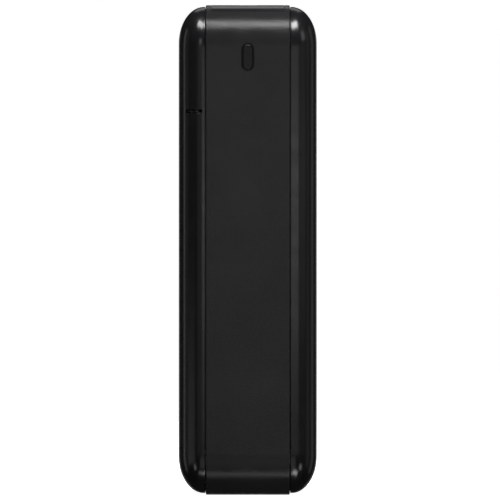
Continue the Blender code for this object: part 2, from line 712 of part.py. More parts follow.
def make_button():
    """The button: a round-ended cap in the frame's hole, with a flange behind the wall."""
    width = HOLE_WIDTH - 2 * BUTTON_SIDE_GAP
    length = HOLE_LENGTH - 2 * BUTTON_SIDE_GAP
    face = HALF_WIDTH - BUTTON_SUNK
    button = slab(
        "power_button", [stadium(width, length, 0.0)], -(face - FLANGE_IN) / 2, (face - FLANGE_IN) / 2,
        ACROSS_Y, "button_plastic",
    )
    place = Vector((0.0, -(face + FLANGE_IN) / 2, BUTTON_Z))
    button.location = place
    round_face_edge(button, (face - FLANGE_IN) / 2)
    flange = slab(
        "button_flange",
        [stadium(HOLE_WIDTH + 2 * BUTTON_FLANGE_LIP, HOLE_LENGTH + 2 * BUTTON_FLANGE_LIP, BUTTON_Z)],
        FLANGE_IN, FLANGE_OUT, ACROSS_Y,
    )
    combine(button, flange, "UNION")


def round_face_edge(thing, half_depth):
    """Round the edge of the button's face."""
    bm = bmesh.new()
    bm.from_mesh(thing.data)
    rim = []
    for edge in bm.edges:
        on_face = all(vert.co.z > half_depth - SLIDE_GAP for vert in edge.verts)
        if on_face and len(edge.link_faces) == 2 and edge.calc_face_angle() > SMOOTH_ANGLE:
            rim.append(edge)
    bmesh.ops.bevel(
        bm, geom=rim, offset=BUTTON_EDGE, offset_type="OFFSET", segments=2, profile=0.5, affect="EDGES",
        material=-1,
    )
    bm.to_mesh(thing.data)
    bm.free()
    smooth(thing)


def make_switch():
    """The tactile switch behind the button, its plunger and the board that carries it."""
    half = SWITCH_SIZE / 2
    body = block(
        "tact_switch_body", (-half, -SWITCH_FACE, BUTTON_Z - half), (half, -SWITCH_BACK, BUTTON_Z + half),
        "switch_resin",
    )
    bore_depth = PLUNGER_IN + BUTTON_TRAVEL + GAP
    bore = rod(
        "plunger_bore", (0.0, -SWITCH_FACE, BUTTON_Z), PLUNGER_RADIUS + SLIDE_GAP, 2 * bore_depth, ACROSS_Y
    )
    combine(body, bore, "DIFFERENCE")
    depth = PLUNGER_OUT + PLUNGER_IN
    rod(
        "tact_switch_plunger", (0.0, -(PLUNGER_TIP - depth / 2), BUTTON_Z), PLUNGER_RADIUS, depth, ACROSS_Y,
        "button_plastic",
    )
    board = [Vector(corner) for corner in (
        (-BUTTON_BOARD_WIDTH / 2, BUTTON_Z - BUTTON_BOARD_LENGTH / 2),
        (BUTTON_BOARD_WIDTH / 2, BUTTON_Z - BUTTON_BOARD_LENGTH / 2),
        (BUTTON_BOARD_WIDTH / 2, BUTTON_Z + BUTTON_BOARD_LENGTH / 2),
        (-BUTTON_BOARD_WIDTH / 2, BUTTON_Z + BUTTON_BOARD_LENGTH / 2),
    )]
    holes = [circle(side * POST_SPREAD, BUTTON_Z, SCREW_HOLE) for side in (-1, 1)]
    slab("button_board", [board, *holes], BUTTON_BOARD_BACK, BUTTON_BOARD_FACE, ACROSS_Y, "circuit_board")


def screw(name, place, turn):
    """A pan-head screw whose head sits at its place and whose shank runs down its own axis."""
    dome = SCREW_HEAD * SCREW_DOME_SHARE
    profile = (
        (0.0, SCREW_HEAD_THICK), (dome, SCREW_HEAD_THICK), (SCREW_HEAD, SCREW_HEAD_THICK * SCREW_RIM_SHARE),
        (SCREW_HEAD, 0.0), (SCREW_SHANK, 0.0), (SCREW_SHANK, -SCREW_LENGTH + SCREW_SHANK / 2),
        (SCREW_SHANK / 2, -SCREW_LENGTH), (0.0, -SCREW_LENGTH),
    )
    turned(name, profile, place, turn, "screw_steel")


def make_screws():
    """The screws of the main board and of the button board."""
    towards_inside = Matrix.Rotation(math.pi, 3, "X") @ ACROSS_Y
    for number, side in enumerate((-1, 1), start=1):
        screw(f"main_board_screw_{number}", (BOARD_TOP_X + GAP, side * SCREW_Y, SCREW_Z), ACROSS_X)
        screw(
            f"button_board_screw_{number}",
            (side * POST_SPREAD, -(BUTTON_BOARD_BACK - GAP), BUTTON_Z), towards_inside,
        )


def make_main_board():
    """The board that carries the connectors, its parts and the sheet that insulates its back."""
    corners = [Vector(corner) for corner in (
        (-BOARD_HALF_Y, BOARD_LOW_Z), (BOARD_HALF_Y, BOARD_LOW_Z),
        (BOARD_HALF_Y, BOARD_HIGH_Z), (-BOARD_HALF_Y, BOARD_HIGH_Z),
    )]
    holes = [circle(side * SCREW_Y, SCREW_Z, SCREW_HOLE) for side in (-1, 1)]
    slab("main_board", [corners, *holes], BOARD_BACK_X, BOARD_TOP_X, ACROSS_X, "circuit_board")
    sheet_half_y = BOARD_HALF_Y - BRACKET_REACH - GAP
    block(
        "insulation_sheet", (BRACKET_TOP_X - INSULATION_THICK, -sheet_half_y, BOARD_LOW_Z),
        (BRACKET_TOP_X, sheet_half_y, BOARD_HIGH_Z), "insulation_paper",
    )
    surface = BOARD_TOP_X + GAP
    for name, y, size, height, edge, material in (
        ("controller_chip", 0.0, CHIP_SIZE, CONTROLLER_THICK, 0.0, "chip_resin"),
        (
            "boost_inductor", INDUCTOR_OFFSET, 2 * PART_ROW_HALF, INDUCTOR_THICK, INDUCTOR_EDGE,
            "inductor_ferrite",
        ),
        ("mosfet_1", MOSFET_OFFSETS[0], CHIP_SIZE, MOSFET_THICK, 0.0, "chip_resin"),
        ("mosfet_2", MOSFET_OFFSETS[1], CHIP_SIZE, MOSFET_THICK, 0.0, "chip_resin"),
    ):
        part = block(
            name, (surface, y - size / 2, PART_ROW_Z - size / 2),
            (surface + height, y + size / 2, PART_ROW_Z + size / 2), material,
        )
        if edge:
            round_edges(part, edge)
    for number, y in enumerate(CAPACITOR_OFFSETS, start=1):
        rod(
            f"capacitor_{number}", (surface + CAPACITOR_HEIGHT / 2, y, PART_ROW_Z), CAPACITOR_RADIUS,
            CAPACITOR_HEIGHT, ACROSS_X, "capacitor_can",
        )


def make_cells():
    """The pouch cells with their terminal tabs and the foam pads beside them."""
    foam_half_y = CELL_HALF_Y - FOAM_MARGIN
    middle = (CELL_COUNT - 1) / 2
    for number in range(CELL_COUNT):
        x = (number - middle) * CELL_PITCH
        cell = block(
            f"cell_{number + 1}", (x - CELL_THICK / 2, -CELL_HALF_Y, CELL_BASE),
            (x + CELL_THICK / 2, CELL_HALF_Y, CELL_TOP), "cell_foil",
        )
        round_edges(cell, CELL_EDGE)
        terrace_half_y = RIB_INNER_Y - GAP
        terrace = block(
            f"terrace_{number + 1}", (x - TERRACE_THICK / 2, -terrace_half_y, CELL_TOP - CELL_EDGE),
            (x + TERRACE_THICK / 2, terrace_half_y, TERRACE_TOP),
        )
        combine(cell, terrace, "UNION")
        for pole, side in (("positive", 1), ("negative", -1)):
            y = side * TAB_OFFSET
            block(
                f"tab_{pole}_{number + 1}", (x - TAB_THICK / 2, y - TAB_WIDTH / 2, TERRACE_TOP + GAP),
                (x + TAB_THICK / 2, y + TAB_WIDTH / 2, TAB_TOP), "tab_metal",
            )
    for number in range(CELL_COUNT - 1):
        x = (number - middle) * CELL_PITCH + CELL_PITCH / 2
        block(
            f"foam_pad_{number + 1}", (x - FOAM_THICK / 2, -foam_half_y, CELL_BASE + FOAM_MARGIN),
            (x + FOAM_THICK / 2, foam_half_y, CELL_TOP - FOAM_MARGIN), "foam",
        )
    for number, side in enumerate((-1, 1), start=CELL_COUNT):
        x = side * (COVER_INNER_FACE - STACK_CLEARANCE / 2)
        block(
            f"foam_pad_{number}", (x - OUTER_FOAM_THICK / 2, -foam_half_y / 2, CELL_BASE + 2 * FOAM_MARGIN),
            (x + OUTER_FOAM_THICK / 2, foam_half_y / 2, CELL_TOP - 2 * FOAM_MARGIN), "foam",
        )


def make_protection():
    """The protection board over the cells, with its parts."""
    block(
        "protection_board", (-PROTECTION_DEPTH / 2, -PROTECTION_WIDTH / 2, PROTECTION_LOW_Z),
        (PROTECTION_DEPTH / 2, PROTECTION_WIDTH / 2, PROTECTION_HIGH_Z), "circuit_board",
    )
    surface = PROTECTION_HIGH_Z + GAP
    for name, x, y, half, height in (
        ("protection_mosfet_1", PROTECTION_PART_X, GATE_SPREAD, GATE_HALF, GATE_THICK),
        ("protection_mosfet_2", PROTECTION_PART_X, -GATE_SPREAD, GATE_HALF, GATE_THICK),
        ("thermistor", -PROTECTION_PART_X, 0.0, THERMISTOR_HALF, THERMISTOR_THICK),
    ):
        low = (x - half[0], y - half[1], surface)
        block(name, low, (x + half[0], y + half[1], surface + height), "chip_resin")


def bent_path(start, turn_to, rise, run):
    """Points of a lead that rises, turns through a quarter circle and runs on."""
    start = Vector(start)
    turn_to = Vector(turn_to)
    upward = Vector((0, 0, 1))
    bend_start = start + upward * rise
    points = [start, bend_start]
    for step in range(1, BEND_STEPS + 1):
        angle = math.pi / 2 * step / BEND_STEPS
        swing = turn_to * (1 - math.cos(angle)) + upward * math.sin(angle)
        points.append(bend_start + swing * LEAD_BEND)
    points.append(points[-1] + turn_to * run)
    return points


def make_leads():
    """The battery leads, and the signal leads of the button board and the indicator board."""
    run = LEAD_OFFSET - LEAD_BEND - BOARD_TOP_X - GAP
    for name, side, material in (
        ("battery_lead_positive", 1, "lead_red"), ("battery_lead_negative", -1, "lead_black"),
    ):
        start = (LEAD_OFFSET, side * LEAD_OFFSET, PROTECTION_HIGH_Z + GAP)
        path = bent_path(start, (-1, 0, 0), LEAD_RISE, run)
        wire(name, path, LEAD_RADIUS, material)
    indicator_y = -(INDICATOR_FACE - SMALL_BOARD_THICK - GAP)
    indicator_x = -(SLOT_OUTER_X - SIGNAL_RADIUS)
    indicator_top = SLOT_Z + INDICATOR_BOARD_HEIGHT / 2 + GAP + RIB_THICK
    sheet_back_x = BRACKET_TOP_X - INSULATION_THICK
    wire(
        "indicator_lead",
        [
            (indicator_x, indicator_y, SLOT_Z), (indicator_x, indicator_y + LEAD_BEND, SLOT_Z + GAP),
            (indicator_x + LEAD_BEND / 2, indicator_y + 2 * LEAD_BEND, SLOT_Z + LEAD_BEND),
            (indicator_x + LEAD_BEND, indicator_y + 2 * LEAD_BEND, indicator_top),
            (BRACKET_BACK_X, indicator_y + 3 * LEAD_BEND, indicator_top + LEAD_BEND),
            (sheet_back_x - LEAD_BEND, indicator_y + 3 * LEAD_BEND, indicator_top + LEAD_BEND),
        ],
        SIGNAL_RADIUS, "lead_black",
    )
    button_x = PLUNGER_RADIUS * 3
    board_y = BOARD_HALF_Y - LEAD_BEND
    wire(
        "button_lead",
        [
            (button_x, -(BUTTON_BOARD_BACK - GAP), SIGNAL_LEAD_Z),
            (button_x, -(board_y + LEAD_BEND / 2), SIGNAL_LEAD_Z),
            (button_x / 2, -board_y, SIGNAL_LEAD_Z),
            (BOARD_TOP_X + GAP, -board_y, SIGNAL_LEAD_Z),
        ],
        SIGNAL_RADIUS, "lead_black",
    )


def build():
    """Make the whole pack."""
    make_frame()
    make_port_panel()
    make_connectors()
    make_covers()
    make_indicator()
    make_button()
    make_switch()
    make_screws()
    make_main_board()
    make_cells()
    make_protection()
    make_leads()


build()
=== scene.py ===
"""Power bank: the looks of its casing, button, sockets and inner parts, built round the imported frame.

The pack stands on its bottom end with the sockets at +Z, the button on the -Y side and the slotted
front cover at -X. All sizes are in metres.
"""

import json
import logging
import math
from contextlib import contextmanager
from dataclasses import dataclass, field
from enum import Enum
from typing import Callable, Iterable, Iterator

import bmesh
import bpy
from mathutils import Euler, Matrix, Vector


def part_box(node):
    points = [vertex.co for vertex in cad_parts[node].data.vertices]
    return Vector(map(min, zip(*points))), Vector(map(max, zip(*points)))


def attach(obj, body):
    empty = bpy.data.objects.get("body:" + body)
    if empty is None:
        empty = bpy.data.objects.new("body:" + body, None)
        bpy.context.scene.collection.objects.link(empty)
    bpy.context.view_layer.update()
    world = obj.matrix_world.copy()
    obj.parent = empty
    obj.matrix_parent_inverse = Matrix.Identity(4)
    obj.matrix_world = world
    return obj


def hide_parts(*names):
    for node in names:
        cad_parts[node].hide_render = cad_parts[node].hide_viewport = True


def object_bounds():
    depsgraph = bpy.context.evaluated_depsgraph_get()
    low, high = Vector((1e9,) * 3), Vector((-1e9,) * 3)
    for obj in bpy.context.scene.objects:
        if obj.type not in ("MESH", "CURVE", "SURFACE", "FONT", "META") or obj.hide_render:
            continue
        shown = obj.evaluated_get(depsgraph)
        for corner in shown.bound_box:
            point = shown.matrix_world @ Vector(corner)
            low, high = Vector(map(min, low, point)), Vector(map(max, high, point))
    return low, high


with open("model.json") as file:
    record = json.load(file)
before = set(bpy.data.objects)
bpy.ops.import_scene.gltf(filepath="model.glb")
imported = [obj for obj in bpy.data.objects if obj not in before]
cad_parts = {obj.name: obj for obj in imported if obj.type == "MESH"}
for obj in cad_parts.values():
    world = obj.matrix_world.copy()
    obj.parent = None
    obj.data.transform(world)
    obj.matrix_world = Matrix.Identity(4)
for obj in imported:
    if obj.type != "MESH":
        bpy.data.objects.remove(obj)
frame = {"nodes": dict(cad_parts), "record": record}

LOG = logging.getLogger("power_bank")
CAD_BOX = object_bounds()

Colour = tuple[float, float, float]
Section = list[tuple[float, float]]
Edges = list[bmesh.types.BMEdge]
Faces = list[bmesh.types.BMFace]

# Weld distance, the slack of a test of place, and the angle past which an edge stays sharp
WELD = 1e-7
TINY = 1e-5
SHARP = math.radians(34.0)

# Mesh fineness: stretches round a corner, along a cover's edge, along its inside and along a bend
CORNER_STEPS = 28
COVER_STEPS = 36
INNER_STEPS = 20
BEND_STEPS = 14


class Body(Enum):
    """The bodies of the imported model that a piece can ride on."""

    CASE = "body"
    BUTTON = "button"


class Facing(Enum):
    """The direction that a local +Z axis is turned to."""

    FRONT = "front"
    LEFT = "left"
    RIGHT = "right"


TURNS: dict[Facing, Matrix] = {
    Facing.FRONT: Matrix(((1, 0, 0, 0), (0, 0, -1, 0), (0, 1, 0, 0), (0, 0, 0, 1))),
    Facing.LEFT: Matrix(((0, 0, -1, 0), (-1, 0, 0, 0), (0, 1, 0, 0), (0, 0, 0, 1))),
    Facing.RIGHT: Matrix(((0, 0, 1, 0), (1, 0, 0, 0), (0, 1, 0, 0), (0, 0, 0, 1))),
}


# ---------------------------------------------------------------------------------------------------
# Finishes


class Recipe:
    """A node material in the making: a Principled shader and short ways to add nodes to it."""

    def __init__(self, name: str) -> None:
        """Start a material.

        Args:
            name: The material's name.
        """
        self.material = bpy.data.materials.new(name)
        self.material.use_nodes = True
        self.tree = self.material.node_tree
        self.shader = self.tree.nodes["Principled BSDF"]
        self.place = self.tree.nodes.new("ShaderNodeTexCoord").outputs["Object"]

    def node(self, kind: str, **inputs: object) -> bpy.types.Node:
        """Add a node.

        Args:
            kind: The node's type, without its ShaderNode prefix.
            **inputs: Socket values or sockets to link, by socket name with _ for a space.

        Returns:
            The new node.
        """
        made = self.tree.nodes.new("ShaderNode" + kind)
        for key, value in inputs.items():
            self.feed(made.inputs[key.replace("_", " ")], value)
        return made

    def feed(self, socket: bpy.types.NodeSocket, value: object) -> None:
        """Set a socket or link another socket to it.

        Args:
            socket: The input socket.
            value: A plain value, or the output socket that feeds it.
        """
        if isinstance(value, bpy.types.NodeSocket):
            self.tree.links.new(value, socket)
        else:
            socket.default_value = value

    def stretched(self, scale: Colour) -> bpy.types.NodeSocket:
        """Object coordinates, scaled by a different amount along each axis.

        Args:
            scale: The factor along X, Y and Z.

        Returns:
            The socket with the coordinates.
        """
        mapping = self.node("Mapping", Vector=self.place)
        mapping.inputs["Scale"].default_value = scale
        return mapping.outputs["Vector"]

    def noise(self, size: float, detail: float = 2.0,
              stretch: Colour | None = None) -> bpy.types.NodeSocket:
        """Noise of a given grain size.

        Args:
            size: The width of one grain.
            detail: How many finer layers it has.
            stretch: Factors along the axes, where the grain is drawn out.

        Returns:
            The socket with the noise's value.
        """
        vector = self.place if stretch is None else self.stretched(stretch)
        return self.node("TexNoise", Vector=vector, Scale=1.0 / size, Detail=detail).outputs["Fac"]

    def ranged(self, value: bpy.types.NodeSocket, low: float, high: float,
               start: float = 0.3, end: float = 0.7) -> bpy.types.NodeSocket:
        """A value carried from one range to another.

        Args:
            value: The socket to carry over.
            low: The result at start.
            high: The result at end.
            start: The value that gives low.
            end: The value that gives high.

        Returns:
            The socket with the result.
        """
        made = self.node("MapRange", Value=value)
        made.inputs["From Min"].default_value = start
        made.inputs["From Max"].default_value = end
        made.inputs["To Min"].default_value = low
        made.inputs["To Max"].default_value = high
        return made.outputs["Result"]

    def blended(self, factor: bpy.types.NodeSocket, first: Colour, second: Colour) -> bpy.types.NodeSocket:
        """A colour between two others.

        Args:
            factor: The socket that says how far, from 0 to 1.
            first: The colour at 0.
            second: The colour at 1.

        Returns:
            The socket with the colour.
        """
        mix = self.tree.nodes.new("ShaderNodeMix")
        mix.data_type = "RGBA"
        self.feed(mix.inputs[0], factor)
        mix.inputs[6].default_value = (*first, 1.0)
        mix.inputs[7].default_value = (*second, 1.0)
        return mix.outputs[2]

    def bump(self, height: bpy.types.NodeSocket, depth: float,
             under: bpy.types.NodeSocket | None = None) -> bpy.types.NodeSocket:
        """Relief from a height.

        Args:
            height: The socket with the height, from 0 to 1.
            depth: The relief's full depth.
            under: The normal of a coarser relief below this one.

        Returns:
            The socket with the normal.
        """
        made = self.node("Bump", Height=height)
        made.inputs["Strength"].default_value = 1.0
        made.inputs["Distance"].default_value = depth
        if under is not None:
            self.feed(made.inputs["Normal"], under)
        return made.outputs["Normal"]

    def dress(self, **inputs: object) -> bpy.types.Material:
        """Set the shader's own sockets and hand over the material.

        Args:
            **inputs: Values or sockets, by socket name with _ for a space.

        Returns:
            The finished material.
        """
        for key, value in inputs.items():
            self.feed(self.shader.inputs[key.replace("_", " ")], value)
        return self.material


@dataclass(frozen=True)
class Plastic:
    """Moulded plastic: a tool texture, faint flow marks and a little handling polish."""

    name: str
    colour: Colour
    roughness: float
    polish: float
    grain: float
    grain_depth: float
    specular: float = 0.5
    wave: float = 0.012
    wave_depth: float = 0.0
    patch_grains: float = 14.0
    cloud: float = 0.02
    fade: float = 1.25
    dust: float = 0.0008

    def material(self) -> bpy.types.Material:
        """Build the node material."""
        recipe = Recipe(self.name)
        fine = recipe.noise(self.grain, 3.0)
        broad = recipe.noise(self.grain * self.patch_grains, 2.0)
        cloud = recipe.noise(self.cloud, 3.0)
        lighter = tuple(min(1.0, c * self.fade + self.dust) for c in self.colour)
        tint = recipe.blended(recipe.ranged(cloud, 0.0, 1.0), self.colour, lighter)
        rough = recipe.ranged(broad, self.roughness - self.polish, self.roughness + self.polish)
        under = recipe.bump(recipe.noise(self.wave, 1.0), self.wave_depth) if self.wave_depth else None
        normal = recipe.bump(fine, self.grain_depth, under)
        return recipe.dress(
            Base_Color=tint, Roughness=rough, Normal=normal, Specular_IOR_Level=self.specular,
        )


@dataclass(frozen=True)
class Metal:
    """Sheet, plated or foil metal with drawn scratches and stains."""

    name: str
    colour: Colour
    stain: Colour
    roughness: float
    grain: float
    grain_depth: float
    drawn: Colour = (1.0, 1.0, 1.0)
    crinkle: float = 0.0
    crinkle_depth: float = 0.0
    stain_size: float = 0.004

    def material(self) -> bpy.types.Material:
        """Build the node material."""
        recipe = Recipe(self.name)
        scratches = recipe.noise(self.grain, 4.0, self.drawn)
        stains = recipe.noise(self.stain_size, 4.0)
        tint = recipe.blended(recipe.ranged(stains, 0.0, 1.0, 0.45, 0.75), self.colour, self.stain)
        rough = recipe.ranged(scratches, self.roughness * 0.75, self.roughness * 1.3)
        under = recipe.bump(recipe.noise(self.crinkle, 3.0), self.crinkle_depth) if self.crinkle else None
        normal = recipe.bump(scratches, self.grain_depth, under)
        return recipe.dress(Base_Color=tint, Roughness=rough, Normal=normal, Metallic=1.0)


@dataclass(frozen=True)
class Laminate:
    """Glass-fibre board under solder mask, with its weave and the tracks that show through."""

    name: str
    mask: Colour
    over_copper: Colour
    weave: float = 0.0006
    track: float = 0.0011
    weave_depth: float = 0.000004
    track_depth: float = 0.00003
    blotch: float = 0.002

    def material(self) -> bpy.types.Material:
        """Build the node material."""
        recipe = Recipe(self.name)
        weave = recipe.node("TexChecker", Vector=recipe.place, Scale=1.0 / self.weave).outputs["Fac"]
        cells = recipe.node("TexVoronoi", Vector=recipe.place, Scale=1.0 / (4.0 * self.track))
        cells.distance = "MANHATTAN"
        cells.feature = "F1"
        tracks = recipe.ranged(cells.outputs["Distance"], 0.0, 1.0, 0.42, 0.46)
        tint = recipe.blended(tracks, self.mask, self.over_copper)
        normal = recipe.bump(tracks, self.track_depth, recipe.bump(weave, self.weave_depth))
        rough = recipe.ranged(recipe.noise(self.blotch), 0.28, 0.42)
        return recipe.dress(Base_Color=tint, Roughness=rough, Normal=normal, Coat_Weight=0.4,
                            Coat_Roughness=0.2)


@dataclass(frozen=True)
class Porous:
    """Foam or fibrous paper: open pores or short fibres, with no gloss, and painted shade in the hollow of
    each pore.
    """

    name: str
    colour: Colour
    # the darker colour of the pore hollows, which is painted shade
    deep: Colour
    pore: float
    depth: float
    drawn: Colour = (1.0, 1.0, 1.0)

    def material(self) -> bpy.types.Material:
        """Build the node material."""
        recipe = Recipe(self.name)
        pores = recipe.node("TexVoronoi", Vector=recipe.stretched(self.drawn), Scale=1.0 / self.pore)
        # painted shade: towards each pore's hollow, where the bump sinks, the colour turns to the darker
        # second colour
        dark = recipe.ranged(pores.outputs["Distance"], 0.0, 1.0, 0.1, 0.6)
        tint = recipe.blended(dark, self.deep, self.colour)
        normal = recipe.bump(dark, self.depth, recipe.bump(recipe.noise(self.pore * 6.0), self.depth))
        return recipe.dress(Base_Color=tint, Roughness=recipe.ranged(dark, 0.95, 0.8), Normal=normal,
                            Sheen_Weight=0.2, Sheen_Roughness=0.5)


@dataclass(frozen=True)
class Resin:
    """Clear or tinted resin, such as a light guide or a diode's lens."""

    name: str
    colour: Colour
    roughness: float
    passing: float
    streak: float = 0.0008
    ripple: float = 0.0004
    ripple_depth: float = 0.000004

    def material(self) -> bpy.types.Material:
        """Build the node material."""
        recipe = Recipe(self.name)
        streaks = recipe.noise(self.streak, 3.0, (1.0, 0.15, 1.0))
        deeper = tuple(c * 0.6 for c in self.colour)
        tint = recipe.blended(recipe.ranged(streaks, 0.0, 1.0), self.colour, deeper)
        rough = recipe.ranged(streaks, self.roughness * 0.7, self.roughness * 1.4)
        normal = recipe.bump(recipe.noise(self.ripple), self.ripple_depth)
        return recipe.dress(Base_Color=tint, Roughness=rough, Normal=normal,
                            Transmission_Weight=self.passing, IOR=1.49)


# Every finish, under the record's slot for it
FINISHES: dict[str, Plastic | Metal | Laminate | Porous | Resin] = {
    "frame_plastic": Plastic("spark_eroded_black", (0.0140, 0.0140, 0.0144), 0.18, 0.05, 0.00036, 0.000055,
                             0.22, 0.010, 0.00002),
    "cover_plastic": Plastic("satin_black", (0.0065, 0.0065, 0.0072), 0.20, 0.03, 0.00030, 0.0000025,
                             0.5, 0.012, 0.000010),
    "button_plastic": Plastic("button_black", (0.0055, 0.0055, 0.0059), 0.18, 0.03, 0.00025, 0.000004,
                              0.22),
    "panel_plastic": Plastic("polished_black", (0.010, 0.010, 0.011), 0.15, 0.03, 0.00040, 0.0000015),
    "smoked_guide": Resin("smoked_guide", (0.020, 0.020, 0.024), 0.16, 0.35),
    "led_resin": Resin("diode_lens", (0.85, 0.86, 0.78), 0.25, 0.15),
    "circuit_board": Laminate("green_board", (0.006, 0.060, 0.024), (0.020, 0.150, 0.050)),
    "connector_steel": Metal("nickel_shell", (0.66, 0.65, 0.63), (0.52, 0.50, 0.47), 0.27, 0.00025,
                             0.000003, (1.0, 1.0, 0.12)),
    "connector_tongue": Plastic("tongue_black", (0.016, 0.016, 0.017), 0.42, 0.05, 0.00020, 0.000004),
    "chip_resin": Plastic("moulded_chip", (0.015, 0.015, 0.016), 0.55, 0.06, 0.00012, 0.000008),
    "inductor_ferrite": Plastic("ferrite", (0.055, 0.055, 0.060), 0.68, 0.08, 0.00018, 0.000016),
    "capacitor_can": Metal("aluminium_can", (0.74, 0.75, 0.76), (0.66, 0.66, 0.67), 0.30, 0.00020,
                           0.000002, (1.0, 1.0, 0.1)),
    "cell_foil": Metal("cell_laminate", (0.70, 0.71, 0.73), (0.60, 0.61, 0.64), 0.36, 0.00035,
                       0.000006, (1.0, 1.0, 1.0), 0.0045, 0.00012),
    "tab_metal": Metal("nickel_tab", (0.66, 0.63, 0.58), (0.52, 0.48, 0.42), 0.33, 0.00018,
                       0.000004, (1.0, 1.0, 0.2)),
    "foam": Porous("grey_foam", (0.12, 0.12, 0.13), (0.03, 0.03, 0.03), 0.00045, 0.00020),
    "insulation_paper": Porous("fish_paper", (0.07, 0.09, 0.14), (0.03, 0.04, 0.07), 0.00035, 0.00004,
                               (1.0, 1.0, 0.3)),
    "lead_red": Plastic("red_sleeve", (0.50, 0.015, 0.012), 0.42, 0.05, 0.00030, 0.000006),
    "lead_black": Plastic("black_sleeve", (0.018, 0.018, 0.018), 0.42, 0.05, 0.00030, 0.000006),
    "screw_steel": Metal("zinc_screw", (0.56, 0.56, 0.55), (0.44, 0.43, 0.41), 0.30, 0.00018, 0.000005),
    "switch_resin": Plastic("switch_case", (0.035, 0.035, 0.040), 0.48, 0.05, 0.00018, 0.000006),
}
CONTACT_GOLD = Metal("contact_gold", (0.83, 0.62, 0.28), (0.70, 0.50, 0.22), 0.24, 0.00015, 0.000002,
                     (1.0, 1.0, 0.15))


class Wardrobe:
    """Makes each finish's material once and hands it out."""

    def __init__(self) -> None:
        """Start with no materials made."""
        self.made: dict[str, bpy.types.Material] = {}

    def material(self, slot: str) -> bpy.types.Material:
        """The material of a record slot.

        Args:
            slot: The slot's name.

        Returns:
            The node material, the same one each time.
        """
        if slot not in self.made:
            self.made[slot] = FINISHES[slot].material()
        return self.made[slot]

    def gold(self) -> bpy.types.Material:
        """The plating of the sockets' contacts."""
        if "gold" not in self.made:
            self.made["gold"] = CONTACT_GOLD.material()
        return self.made["gold"]


# ---------------------------------------------------------------------------------------------------
# Modelling


def of_kind(items: Iterable, kind: type) -> list:
    """The mesh elements of one kind among others, in order."""
    return [item for item in items if isinstance(item, kind)]


def pull(bm: bmesh.types.BMesh, edges: Edges) -> tuple[Edges, list[bmesh.types.BMVert]]:
    """Extrude edges where they are.

    Args:
        bm: The mesh that holds them.
        edges: The edges to extrude.

    Returns:
        The new edges and their ends, ready to be moved.
    """
    made = bmesh.ops.extrude_edge_only(bm, edges=edges)["geom"]
    return of_kind(made, bmesh.types.BMEdge), of_kind(made, bmesh.types.BMVert)


@dataclass
class RoundRing:
    """A rounded rectangle in the local XY plane that a section is swept round."""

    half_a: float
    half_b: float
    corner: float
    corner_steps: int = 20
    support: float = 0.0004

    def sweep(self, bm: bmesh.types.BMesh, section: Section, closed: bool = False) -> None:
        """Spin and extrude a section all the way round.

        Args:
            bm: The mesh that takes the new shell.
            section: Points of inset from the outline and height, along the section.
            closed: Whether the section's last point joins its first.
        """
        before = set(bm.verts)
        in_a, in_b = self.half_a - self.corner, self.half_b - self.corner
        spots = [bm.verts.new((in_a, -in_b - self.corner + inset, height)) for inset, height in section]
        edges = [bm.edges.new(pair) for pair in zip(spots, spots[1:])]
        if closed:
            edges.append(bm.edges.new((spots[-1], spots[0])))
        legs = (
            (Vector((in_a, -in_b, 0.0)), Vector((0.0, 2 * in_b, 0.0))),
            (Vector((in_a, in_b, 0.0)), Vector((-2 * in_a, 0.0, 0.0))),
            (Vector((-in_a, in_b, 0.0)), Vector((0.0, -2 * in_b, 0.0))),
            (Vector((-in_a, -in_b, 0.0)), Vector((2 * in_a, 0.0, 0.0))),
        )
        for centre, run in legs:
            turned = bmesh.ops.spin(
                bm, geom=self.ends(edges) + edges, cent=centre, axis=(0, 0, 1), dvec=(0, 0, 0),
                angle=math.pi / 2, steps=self.corner_steps, use_merge=False, use_duplicate=False,
            )
            edges = of_kind(turned["geom_last"], bmesh.types.BMEdge)
            for share in self.stretches(run.length):
                edges, ends = pull(bm, edges)
                bmesh.ops.translate(bm, vec=run * share, verts=ends)
        fresh = [vert for vert in bm.verts if vert not in before]
        bmesh.ops.remove_doubles(bm, verts=fresh, dist=WELD)

    def stretches(self, length: float) -> list[float]:
        """The shares that a straight run is extruded in, with a short one at each end.

        Args:
            length: The run's length.

        Returns:
            The shares, or none where there is no straight run.
        """
        if length < WELD:
            return []
        if length < 4 * self.support:
            return [1.0]
        end = self.support / length
        return [end, 1.0 - 2 * end, end]

    @staticmethod
    def ends(edges: Iterable[bmesh.types.BMEdge]) -> list[bmesh.types.BMVert]:
        """The vertices of some edges, each once and in order."""
        return list(dict.fromkeys(vert for edge in edges for vert in edge.verts))


def quarter(radius_in: float, radius_up: float, inset: float, height: float, steps: int,
            start_deg: float = 0.0, end_deg: float = 90.0) -> Section:
    """Points along part of an ellipse, for a section.

    Args:
        radius_in: The ellipse's reach along the inset.
        radius_up: Its reach along the height.
        inset: The inset of its centre.
        height: The height of its centre.
        steps: How many stretches it has.
        start_deg: The first angle, from the outward direction towards +height.
        end_deg: The last angle.

    Returns:
        The points, first to last.
    """
    points = []
    for step in range(steps + 1):
        angle = math.radians(start_deg + (end_deg - start_deg) * step / steps)
        points.append((inset - radius_in * math.cos(angle), height + radius_up * math.sin(angle)))
    return points


def fill_loops(bm: bmesh.types.BMesh, height: float) -> Faces:
    """Close each open loop that lies at a height with one flat face.

    Args:
        bm: The mesh to close.
        height: The loops' local height.

    Returns:
        The new faces.
    """
    rim = [e for e in bm.edges if e.is_boundary and all(abs(v.co.z - height) < TINY for v in e.verts)]
    return bmesh.ops.holes_fill(bm, edges=rim, sides=0)["faces"]


